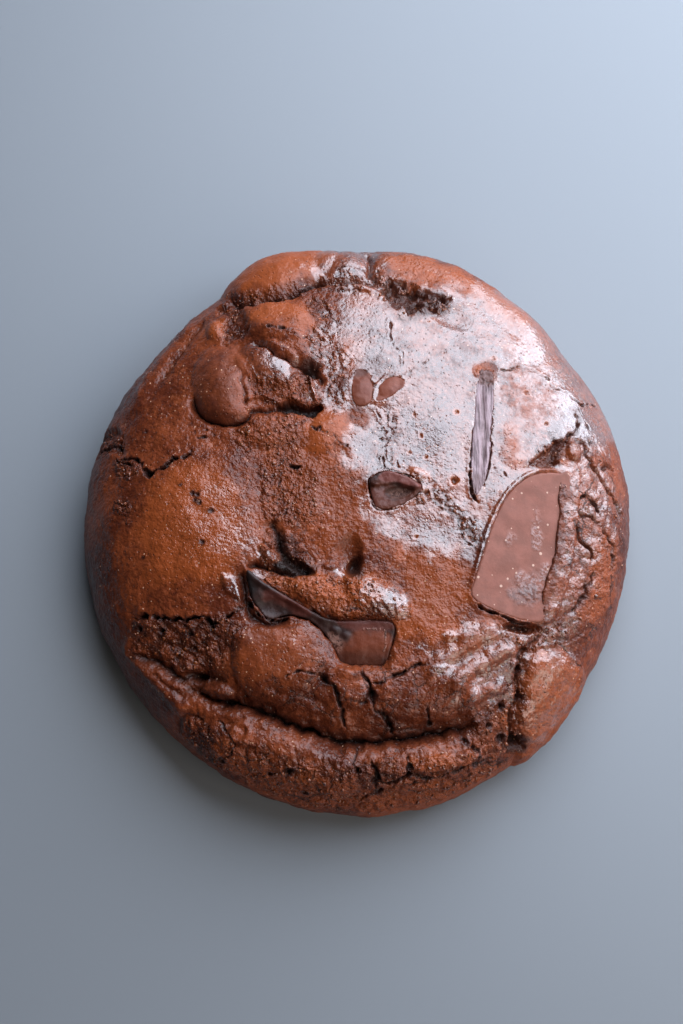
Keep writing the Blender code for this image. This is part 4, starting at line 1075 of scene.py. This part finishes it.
def scattered_crumbs():
    """Geometry nodes that stick lumps on a mesh where its grit mark is high."""
    tree = bpy.data.node_groups.new("scattered crumbs", "GeometryNodeTree")
    sizes = {"Skin": "Geometry", "Crumbs per mm2": "Float", "Size in mm": "Float", "Seed": "Int"}
    for label, kind in (*sizes.items(), ("Stuff", "Material")):
        tree.interface.new_socket(name=label, in_out="INPUT", socket_type="NodeSocket" + kind)
    tree.interface.new_socket(name="Crumbs", in_out="OUTPUT", socket_type="NodeSocketGeometry")
    given = add(tree, "NodeGroupInput").outputs
    grit = add(tree, "GeometryNodeInputNamedAttribute", {"Name": "grit"}, data_type="FLOAT")
    torn = add(tree, "ShaderNodeMapRange", (grit, 0.55, 0.95))
    deep = add(tree, "GeometryNodeInputNamedAttribute", {"Name": "hollow"}, data_type="FLOAT")
    deep = add(tree, "ShaderNodeMath", (deep, 2.0), operation="MULTIPLY")
    torn = add(tree, "ShaderNodeMath", (torn, deep), operation="SUBTRACT")
    dense = add(tree, "ShaderNodeMath", (given["Crumbs per mm2"], 1e6), operation="MULTIPLY")
    dense = add(tree, "ShaderNodeMath", (torn, dense), operation="MULTIPLY")
    spots = add(tree, "GeometryNodeDistributePointsOnFaces",
                {"Mesh": given["Skin"], "Density": dense, "Seed": given["Seed"]})
    lump = add(tree, "GeometryNodeMeshUVSphere", {"Segments": 7, "Rings": 5, "Radius": 0.5 * MM})
    turn = add(tree, "FunctionNodeRandomValue",
               {0: (0.0, 0.0, 0.0), 1: (6.28, 6.28, 6.28), "Seed": given["Seed"]}, data_type="FLOAT_VECTOR")
    size = add(tree, "FunctionNodeRandomValue", {2: 0.0, 3: 1.0, "Seed": given["Seed"]}, data_type="FLOAT")
    size = add(tree, "ShaderNodeMath", (size, 2.5), operation="POWER")
    size = add(tree, "ShaderNodeMath", (size, 1.5, 0.5), operation="MULTIPLY_ADD")
    size = add(tree, "ShaderNodeMath", (size, given["Size in mm"]), operation="MULTIPLY")
    flat = add(tree, "ShaderNodeMath", (size, 0.7), operation="MULTIPLY")
    shape = add(tree, "ShaderNodeCombineXYZ", (size, size, flat))
    lumps = add(tree, "GeometryNodeInstanceOnPoints",
                {"Points": spots, "Instance": lump, "Rotation": turn, "Scale": shape})
    real = add(tree, "GeometryNodeRealizeInstances", {"Geometry": lumps})
    where = add(tree, "GeometryNodeInputPosition")
    wobble = add(tree, "ShaderNodeTexNoise", (where, per_metre(0.4), 1.0)).outputs["Color"]
    shift = add(tree, "ShaderNodeVectorMath", (wobble, (0.5, 0.5, 0.5)), operation="SUBTRACT")
    shift = add(tree, "ShaderNodeVectorMath", (shift, 0.7 * MM), operation="SCALE")
    ragged = add(tree, "GeometryNodeSetPosition", {"Geometry": real, "Offset": shift})
    ready = add(tree, "GeometryNodeSetMaterial", {"Geometry": ragged, "Material": given["Stuff"]})
    add(tree, "NodeGroupOutput", {"Crumbs": ready})
    return tree


# Moist crumb, IOR 1.5, roughness 0.35, with a little sugary shine as a coat with IOR 1.8
broken, tree, shader, place = new_material("broken brownie crumb")
cloud = add(tree, "ShaderNodeTexNoise", (place, per_metre(2.0), 3.0, 0.6))
patches = add(tree, "ShaderNodeMapRange", (cloud, 0.35, 0.65), **SMOOTH)
colour = add(tree, "ShaderNodeMix", (patches, "#5a260e", "#8a4418"), **COLOURS)
relief = add(tree, "ShaderNodeTexNoise", (place, per_metre(0.3), 2.0, 0.6))
relief = add(tree, "ShaderNodeBump", {"Height": relief, "Distance": 0.1 * MM})
plug(tree, shader, {"Base Color": colour, "Roughness": 0.35, "Normal": relief})
plug(tree, shader, {"Coat Weight": 0.4, "Coat IOR": 1.8})

crumbs = bpy.data.objects.new("crumbs", crust.data.copy())
bpy.context.collection.objects.link(crumbs)
scatter = crumbs.modifiers.new("scatter", "NODES")
scatter.node_group = scattered_crumbs()
sizes_wanted = {"Crumbs per mm2": 0.7, "Size in mm": 0.4, "Seed": 4, "Stuff": broken}
for item in scatter.node_group.interface.items_tree:
    if item.name in sizes_wanted:
        scatter[item.identifier] = sizes_wanted[item.name]
keep_result(crumbs)
crumbs.data.shade_smooth()
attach(crumbs, "root")
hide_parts("cookie_body")

# ---------------------------------------------------------------- the milk chocolate slab
# A flat broken piece of milk chocolate that lay on the dough. It softened in the oven and
# set again matt, with pale specks of fat and a few rough spots where crumb stuck to it.

BACK_SHRINK = 0.93  # the hidden back of a piece is this much smaller than its face


class Chip(Skin):
    """The face of a piece of chocolate, cut into small triangles inside its outline."""

    def __init__(self, node, spacing=0.24):
        text, self.rise, self.lean, _ = BEDS[node]
        self.node = node
        self.outline = places(text)
        rim = smooth_route(self.outline, closed=True, spacing=spacing)[:-1]
        low, high = rim.min(axis=0), rim.max(axis=0)
        right, back = np.meshgrid(*(np.arange(a, b, spacing) for a, b in zip(low, high)))
        right = (right + 0.3 * spacing * chance(right * 9.1 + back * 3.3)).ravel()
        back = (back + 0.3 * spacing).ravel()
        inner = buried(rim, right, back) < -0.6 * spacing
        corners = np.concatenate([rim, np.stack([right[inner], back[inner]], axis=1)])
        self.rim = np.arange(len(rim))
        found = delaunay_2d_cdt([Vector(p) for p in corners], [], [[int(k) for k in self.rim]], 1, 1e-5)
        corners = np.array([tuple(p) for p in found[0]])
        self.triangles = np.array(found[2])
        super().__init__(corners[:, 0], corners[:, 1])
        self.inside = -buried(rim, self.across, self.away)

    def solid(self, name, thickness, edge, stuff):
        """The piece: its face with a rounded edge, a rough side and a flat back."""
        self.height -= edge * (1 - bulge(self.inside / edge))
        middle, normal = face_plane(self.outline, self.lean)
        on_crust = even_surface(self.across, self.away)
        drop = ((on_crust - middle) @ normal) / normal[2]
        face = on_crust - drop[:, None] * (0, 0, 1)
        top = face + normal * (self.rise + self.height)[:, None]
        bottom = middle + (face - middle) * BACK_SHRINK + normal * (self.rise - thickness)
        loops = [self.rim]
        walls = []
        for share in (0.12, 0.35, 0.65):  # heights of the wall's rings, from the face down
            ring = top[self.rim] * (1 - share) + bottom[self.rim] * share
            wave = rough(self.across[self.rim], self.away[self.rim], 1.2, 7 + 9 * share, 2)
            loops.append(len(top) + len(walls) * len(self.rim) + self.rim)
            walls.append(ring + 0.12 * wave[:, None] * normal)
        first = len(top) + len(walls) * len(self.rim)
        loops.append(first + self.rim)
        faces = [self.triangles, first + self.triangles[:, ::-1]]
        for high, low in zip(loops, loops[1:]):
            after_high, after_low = np.roll(high, -1), np.roll(low, -1)
            faces.append(np.stack([high, low, after_high], axis=1))
            faces.append(np.stack([after_high, low, after_low], axis=1))
        made = mesh_from(name, on_table(np.concatenate([top, *walls, bottom])), np.concatenate(faces))
        mark_vertices(made, self.marks)
        shape = bmesh.new()
        shape.from_mesh(made.data)
        bmesh.ops.recalc_face_normals(shape, faces=shape.faces)
        shape.to_mesh(made.data)
        shape.free()
        made.data.shade_smooth()
        made.data.materials.append(stuff)
        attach(made, "root")
        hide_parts(self.node)
        return made


# Milk chocolate, set again matt: IOR 1.45, roughness 0.5, with a greasy coat on its pale patches and stuck
# crumb
milk, tree, shader, place = new_material("milk chocolate")
stuck = add(tree, "ShaderNodeAttribute", attribute_name="crumb").outputs["Fac"]
bloom_and_glint = add(tree, "ShaderNodeAttribute", attribute_name="gold").outputs["Fac"]
cloud = add(tree, "ShaderNodeTexNoise", (place, per_metre(3.0), 5.0, 0.6))
fine_noise = add(tree, "ShaderNodeTexNoise", (place, per_metre(0.5), 4.0, 0.7))
patches = add(tree, "ShaderNodeMapRange", (cloud, 0.35, 0.65), **SMOOTH)
colour = add(tree, "ShaderNodeMix", (patches, "#794332", "#8a4f3e"), **COLOURS)

# Specks of fat 1.4 mm apart, each of its own size, then pale patches, part fat bloom, part painted glints,
# and brown stuck crumb
fat = add(tree, "ShaderNodeTexVoronoi", (place, per_metre(1.4)))
size = add(tree, "ShaderNodeSeparateColor", (fat.outputs["Color"],))
size = add(tree, "ShaderNodeMath", (size, 0.16), operation="MULTIPLY")
specks = add(tree, "ShaderNodeMath", (fat, size), operation="SUBTRACT")
specks = add(tree, "ShaderNodeMapRange", (specks, 0.07, 0.02), **SMOOTH)
share = add(tree, "ShaderNodeMath", (specks, 0.8), operation="MULTIPLY")
colour = add(tree, "ShaderNodeMix", (share, colour, "#d3ab97"), **COLOURS)
fine_patches = add(tree, "ShaderNodeMapRange", (fine_noise, 0.42, 0.6), **SMOOTH)
pale = add(tree, "ShaderNodeMath", (bloom_and_glint, fine_patches), operation="MULTIPLY")
share = add(tree, "ShaderNodeMath", (pale, 0.7), operation="MULTIPLY")
colour = add(tree, "ShaderNodeMix", (share, colour, "#ab8680"), **COLOURS)
fine_patches = add(tree, "ShaderNodeMapRange", (fine_noise, 0.35, 0.6), **SMOOTH)
share = add(tree, "ShaderNodeMath", (stuck, fine_patches), operation="MULTIPLY")
colour = add(tree, "ShaderNodeMix", (share, colour, "#5e2a1a"), **COLOURS)
relief = add(tree, "ShaderNodeMath", (stuck, bloom_and_glint), operation="ADD")
relief = add(tree, "ShaderNodeMath", (relief, 1.0, 0.12), operation="MULTIPLY_ADD")
relief = add(tree, "ShaderNodeMath", (fine_noise, relief), operation="MULTIPLY")
relief = add(tree, "ShaderNodeMath", (specks, 0.12, relief), operation="MULTIPLY_ADD")
relief = add(tree, "ShaderNodeBump", {"Height": relief, "Strength": 1.0, "Distance": 0.3 * MM})
grease = add(tree, "ShaderNodeMath", (stuck, pale), operation="ADD")
grease = add(tree, "ShaderNodeMath", (grease, 0.35), operation="MULTIPLY")
plug(tree, shader, {"Base Color": colour, "Roughness": 0.5, "IOR": 1.45, "Normal": relief})
plug(tree, shader, {"Coat Weight": grease, "Coat Roughness": 0.2, "Coat IOR": 1.9})

slab = Chip("chocolate_slab")
slab.height += 0.10 * rough(slab.across, slab.away, 6.0, 3, 2)
# The gold mark on the slab places its pale patches: part fat bloom, part painted glints
slab.paint("gold", "31,-0.6 32,-1 32,-7 31,-7.6 30.6,-4", 0.8, 1.0, 0.8, 2)
slab.paint("gold", "25.2,-6.8 26.4,-5 27.2,-6.2 26,-7.6", 0.7, 1.0, 0.6, 3)
slab.paint("gold", "28,-12.6 31.4,-12 33,-10.4 33.2,-12.6 31.6,-15.8 28.2,-14.6", 0.9, 1.2, 0.9, 4)
slab.paint("crumb", "26.6,-14.8 31,-14 31.6,-16.6 29,-18 26.8,-17", 0.8, 1.5, 1.0, 5)
slab.crumble("27,-13.4 32.4,-11.4 32,-17 28.4,-17.8 26.6,-15.6", 0.16, 0.9, 6, 0.3)
slab.tear("30.6,3.6 32.8,3 34.6,2 36.2,1.6", 0.07, 0.1, 0.2, 7, dark=0.15, lip=0.0)
slab_piece = slab.solid("milk_chocolate_slab", 4.5, 0.3, milk)

# ---------------------------------------------------------------- the dark chocolate pieces
# Broken dark chocolate: a long shard with a raised rim, a wedge with a ledge, and two nibs
# that softened under the skin. They set smooth, brown where the crust's sugar ran over them.

# Dark chocolate, set with a soft sheen: IOR 1.45, roughness 0.42 to 0.55, brown where sugar ran
dark, tree, shader, place = new_material("dark chocolate")
mark = {kind: add(tree, "ShaderNodeAttribute", attribute_name=kind).outputs["Fac"] for kind in skin.marks}
cloud = add(tree, "ShaderNodeTexNoise", (place, per_metre(2.5), 5.0, 0.6))
fine_noise = add(tree, "ShaderNodeTexNoise", (place, per_metre(0.6), 5.0, 0.7))
patches = add(tree, "ShaderNodeMapRange", (cloud, 0.35, 0.65), **SMOOTH)
colour = add(tree, "ShaderNodeMix", (patches, "#2c1613", "#402621"), **COLOURS)
colour = add(tree, "ShaderNodeMix", (mark["gold"], colour, "#783820"), **COLOURS)
# Painted sheen: a lighter mauve brown where the shine mark lies, on faces that catch the light
painted_sheen = add(tree, "ShaderNodeMapRange", (cloud, 0.3, 0.5, 0.6, 1.0), **SMOOTH)
share = add(tree, "ShaderNodeMath", (mark["shine"], painted_sheen), operation="MULTIPLY")
colour = add(tree, "ShaderNodeMix", (share, colour, "#6b362d"), **COLOURS)
fine_patches = add(tree, "ShaderNodeMapRange", (fine_noise, 0.4, 0.55), **SMOOTH)
share = add(tree, "ShaderNodeMath", (mark["crumb"], fine_patches), operation="MULTIPLY")
colour = add(tree, "ShaderNodeMix", (share, colour, "#c08a78"), **COLOURS)
# Painted shade where the hollow mark lies
colour = add(tree, "ShaderNodeMix", (mark["hollow"], colour, "#0d0606"), **COLOURS)
relief = add(tree, "ShaderNodeMath", (mark["crumb"], 1.0, 0.2), operation="MULTIPLY_ADD")
relief = add(tree, "ShaderNodeMath", (fine_noise, relief), operation="MULTIPLY")
relief = add(tree, "ShaderNodeBump", {"Height": relief, "Strength": 1.0, "Distance": 0.35 * MM})
sheen = add(tree, "ShaderNodeMapRange", (cloud, 0.3, 0.7, 0.42, 0.55), **SMOOTH)
plug(tree, shader, {"Base Color": colour, "Roughness": sheen, "IOR": 1.45, "Normal": relief})

shard = Chip("chocolate_shard")
shard.height += 0.15 * rough(shard.across, shard.away, 3.0, 3, 4)
# Painted sheen on the raised ledge; the ribbon below gets it too
shard.paint("shine", "-15.6,-15.6 -12,-17 -8.6,-19 -9.4,-20 -13,-18.6 -16,-17", 0.7, 1.2, 0.8, 14)
shard.ridge("-19,-13 -14.4,-16 -11,-17.9 -8,-19.6 -5,-21.4", 0.9, 0.4)
shard.ridge("-7,-20.4 -3.4,-21.3 1.6,-21.5 5.4,-21.6 6,-22.6 5.4,-25.4 4.8,-28.4", 0.4, 0.12, 0.04)
shard.tear("0.4,-22.3 3.6,-22.4 4.8,-23 4.6,-25 4.2,-27.6", 0.12, 0.25, 0.2, 8, gape=0.8, lip=0.0,
           dark=0.8)
shard.swell((1.6, -25.4), (6.0, 4.0), -10, 0.4, 1.0)
shard.swell((-3.9, -22.6), (1.0, 0.7), 0, 0.35, 1.0)
shard.swell((-1.9, -23.4), (0.8, 0.6), 0, 0.3, 1.0)
shard.swell((-13.6, -19.0), (4.5, 1.8), -12, -0.7, 1.0)
shard.paint("gold", "-1,-23.4 0.4,-22.4 5,-22.4 4.8,-28.6 -3,-28.8 -3,-26", 0.95, 2.0, 1.2, 9)
# Painted shade at the bottom of the square and at the shard's left end
shard.paint("hollow", "-3.6,-26 4.6,-26.6 4.6,-29 -4,-28.6", 0.55, 2.4, 0.4, 10)
shard.paint("hollow", "-19.6,-12.4 -18,-14 -18,-18.4 -19.4,-18", 0.9, 1.6, 0.5, 11)
shard.paint("shine", "-6.4,-19.6 -3.4,-20 6.4,-20.6 6.4,-22.6 0.4,-22.4 -2.6,-22", 0.8, 0.9, 0.4, 12)
shard.paint("crumb", "-5,-23.4 -3,-24 -2.6,-26 -4.4,-25.6", 0.5, 1.2, 0.6, 13)
shard_piece = shard.solid("dark_chocolate_shard", 3.5, 0.18, dark)

wedge = Chip("chocolate_wedge", 0.18)
wedge.paint("gold", "2,3 5,3.4 10.8,2.8 9,0.4 5,-1.2 2.6,-0.6", 0.45, 2.0, 1.0, 15)
wedge.height += 0.15 * rough(wedge.across, wedge.away, 1.6, 4, 3)
wedge.lobe("1.9,3.6 2.6,4.8 5.2,5.9 8.2,5 11,3 9.8,2.5 6.6,3.3 3,2.9", 0.75, 0.35, wander=0.15, seed=2)
wedge.swell((7.2, 1.9), (2.8, 1.2), 6, -0.9, 0.8)
wedge.swell((3.4, 1.0), (1.6, 2.4), 10, 0.4, 0.8)
wedge.crumble("5.4,2.2 8.8,2.4 8.6,1.2 5.8,1", 0.25, 0.7, 5, 0.9, soft=0.5, ragged=0.3)
# Painted sheen on the top ledge and the left face
wedge.paint("shine", "3.6,4.8 5.2,5.9 8.2,5 11,3 9.8,2.6 6.8,3.5 4,3.8", 1.0, 0.5, 0.3, 6)
wedge.paint("shine", "2.2,2 4.6,2 5.6,0 3,-0.4", 0.3, 1.0, 0.4, 7)
# Painted shade under the ledge
wedge.paint("hollow", "5,2.7 9.4,2.9 9.6,2.2 7,0.4 5.2,1", 0.5, 0.8, 0.3, 8)
wedge_piece = wedge.solid("dark_chocolate_wedge", 3.0, 0.2, dark)

left_nib = Chip("chocolate_nib_left", 0.18)
left_nib.height += 0.10 * rough(left_nib.across, left_nib.away, 1.6, 4, 2)
left_nib.swell((0.8, 20.4), (2.4, 3.0), 0, 0.5, 1.0)
left_nib.paint("gold", "-2,25.6 3,25.6 3.4,17.6 -1.4,17.6", 0.85, 1.0, 0.3, 2)
# Painted sheen on the face, and painted shade at its lower end
left_nib.paint("shine", "-0.6,23 2,23.6 2.6,20.4 0.2,20", 0.2, 1.2, 0.5, 3)
left_nib.paint("hollow", "-1.4,25.8 2,25.8 1.6,23.8 -1,23.6", 0.4, 1.0, 0.4, 4)
left_nib_piece = left_nib.solid("left_dark_nib", 3.0, 0.2, dark)

right_nib = Chip("chocolate_nib_right", 0.18)
right_nib.height += 0.08 * rough(right_nib.across, right_nib.away, 1.6, 5, 2)
right_nib.swell((5.6, 21.4), (2.2, 1.4), 40, 0.35, 1.0)
right_nib.paint("gold", "3,24 9,24 9,18 3,18", 1.0, 1.0, 0.3, 2)
# Painted sheen along the face
right_nib.paint("shine", "5.6,20.6 8.4,22.6 8.4,21.6 6,19.6", 0.35, 0.8, 0.4, 3)
right_nib_piece = right_nib.solid("right_dark_nib", 3.0, 0.2, dark)

# ---------------------------------------------------------------- the bloomed bar
# A splinter of dark chocolate on edge. Its broken side shows as a long narrow face, and
# its fat has risen to it as a lilac film in streaks that run with the break.

# Bloomed dark chocolate: a waxy film of risen fat crystals, which shines more than the bare
# chocolate: IOR 1.6, roughness 0.38
film, tree, shader, place = new_material("bloomed dark chocolate")
along_break = {"Vector": place, "Rotation": (0.0, 0.0, math.radians(-4)), "Scale": (1.0, 0.09, 1.0)}
drawn = add(tree, "ShaderNodeMapping", along_break)
bared = add(tree, "ShaderNodeAttribute", attribute_name="crumb").outputs["Fac"]
sunk = add(tree, "ShaderNodeAttribute", attribute_name="hollow").outputs["Fac"]
streaks = add(tree, "ShaderNodeTexNoise", (drawn, per_metre(0.55), 4.0, 0.65))
cloud = add(tree, "ShaderNodeTexNoise", (place, per_metre(2.5), 5.0, 0.6))
both = add(tree, "ShaderNodeMix", (0.3, streaks, cloud))
patches = add(tree, "ShaderNodeMapRange", (both, 0.38, 0.6), **SMOOTH)
colour = add(tree, "ShaderNodeMix", (patches, "#5b3e40", "#a4878c"), **COLOURS)
colour = add(tree, "ShaderNodeMix", (bared, colour, "#5c2a1a"), **COLOURS)
# Painted shade where the hollow mark lies, along the bar's groove
colour = add(tree, "ShaderNodeMix", (sunk, colour, "#0f0707"), **COLOURS)
relief = add(tree, "ShaderNodeBump", {"Height": streaks, "Strength": 1.0, "Distance": 0.35 * MM})
plug(tree, shader, {"Base Color": colour, "Roughness": 0.38, "IOR": 1.6, "Normal": relief})

bar = Chip("chocolate_bar", 0.2)
bar.height += 0.12 * rough(bar.across, bar.away / 6, 0.9, 4, 2)
bar.fold("22.6,24 22.4,19 22.6,14 22.2,9 21.6,4", (0.8, 0.8), 0.3, dark=0.25, wander=0.2, seed=2)
bar.crumble("20.6,25.8 25,25.8 24.8,23 23,22 21,23.2", 0.35, 0.8, 3, 0.9, soft=0.8, ragged=0.5)
bar.paint("crumb", "20.6,25.8 25,25.8 24.8,23.4 23,22.4 21,23.6", 0.9, 1.0, 0.6, 4)
bar.paint("crumb", "20.2,5 22,5 21.8,2 20.2,2", 0.4, 1.6, 0.6, 5)
bar_piece = bar.solid("bloomed_dark_bar", 4.0, 0.12, film)


# ---------------------------------------------------------------- table, window light and camera
# A pale matt studio table. A soft cool window stands at the back right, with light off its
# sill lower down, and a warm wall at the front left throws some back. The camera is 358 mm
# off and looks down at 75 degrees from the front.

# Matt painted board: roughness 0.5
painted, tree, shader, _ = new_material("pale studio table")
plug(tree, shader, {"Base Color": "#878b90", "Roughness": 0.5})
corners = [(x, y, -0.1 * MM) for x, y in ((-2, -2), (2, -2), (2, 2), (-2, 2))]
floor = mesh_from("table", corners, [(0, 1, 2, 3)])
floor.data.materials.append(painted)

room = bpy.data.worlds.new("dim room")
room.use_nodes = True
plug(room.node_tree, room.node_tree.nodes["Background"], {"Color": "#c4bbb2", "Strength": 0.028})
bpy.context.scene.world = room


def aim(thing, place, target):
    """Puts a light or camera at a place and turns it to look at a target."""
    thing.location = place
    thing.rotation_euler = (Vector(target) - Vector(place)).to_track_quat("-Z", "Y").to_euler()


def from_angles(azimuth, elevation, distance, target):
    """A place at a direction and distance from a target, angles in degrees."""
    turn, rise = math.radians(azimuth), math.radians(elevation)
    direction = (math.cos(rise) * math.cos(turn), math.cos(rise) * math.sin(turn), math.sin(rise))
    return tuple(t + distance * d for t, d in zip(target, direction))


def soft_light(name, width, height, energy, colour, place, target):
    """A soft rectangular light."""
    lamp = bpy.data.lights.new(name, "AREA")
    lamp.shape, lamp.size, lamp.size_y, lamp.energy = "RECTANGLE", width, height, energy
    lamp.color = colour
    light = bpy.data.objects.new(name, lamp)
    bpy.context.collection.objects.link(light)
    aim(light, place, target)


cookie = (0.0, 0.0, 0.02)
SKY = (0.77, 0.86, 1.0)
WARM_WALL = (1.0, 0.93, 0.86)
soft_light("window", 0.42, 0.40, 2.6, SKY, from_angles(52, 41, 0.28, cookie), cookie)
soft_light("window sill", 0.34, 0.14, 0.5, SKY, from_angles(24, 14, 0.34, cookie), cookie)
soft_light("bounce", 0.5, 0.4, 1.35, WARM_WALL, from_angles(-48, 34, 0.6, cookie), cookie)

target = (-0.00285, 0.00025, 0.014)
camera = bpy.data.objects.new("camera", bpy.data.cameras.new("camera"))
bpy.context.collection.objects.link(camera)
camera.data.lens = 70
camera.data.sensor_fit = "VERTICAL"
camera.data.sensor_height = 36
aim(camera, from_angles(-90, 75, 0.358, target), target)
bpy.context.scene.camera = camera
bpy.context.scene.view_settings.view_transform = "Standard"
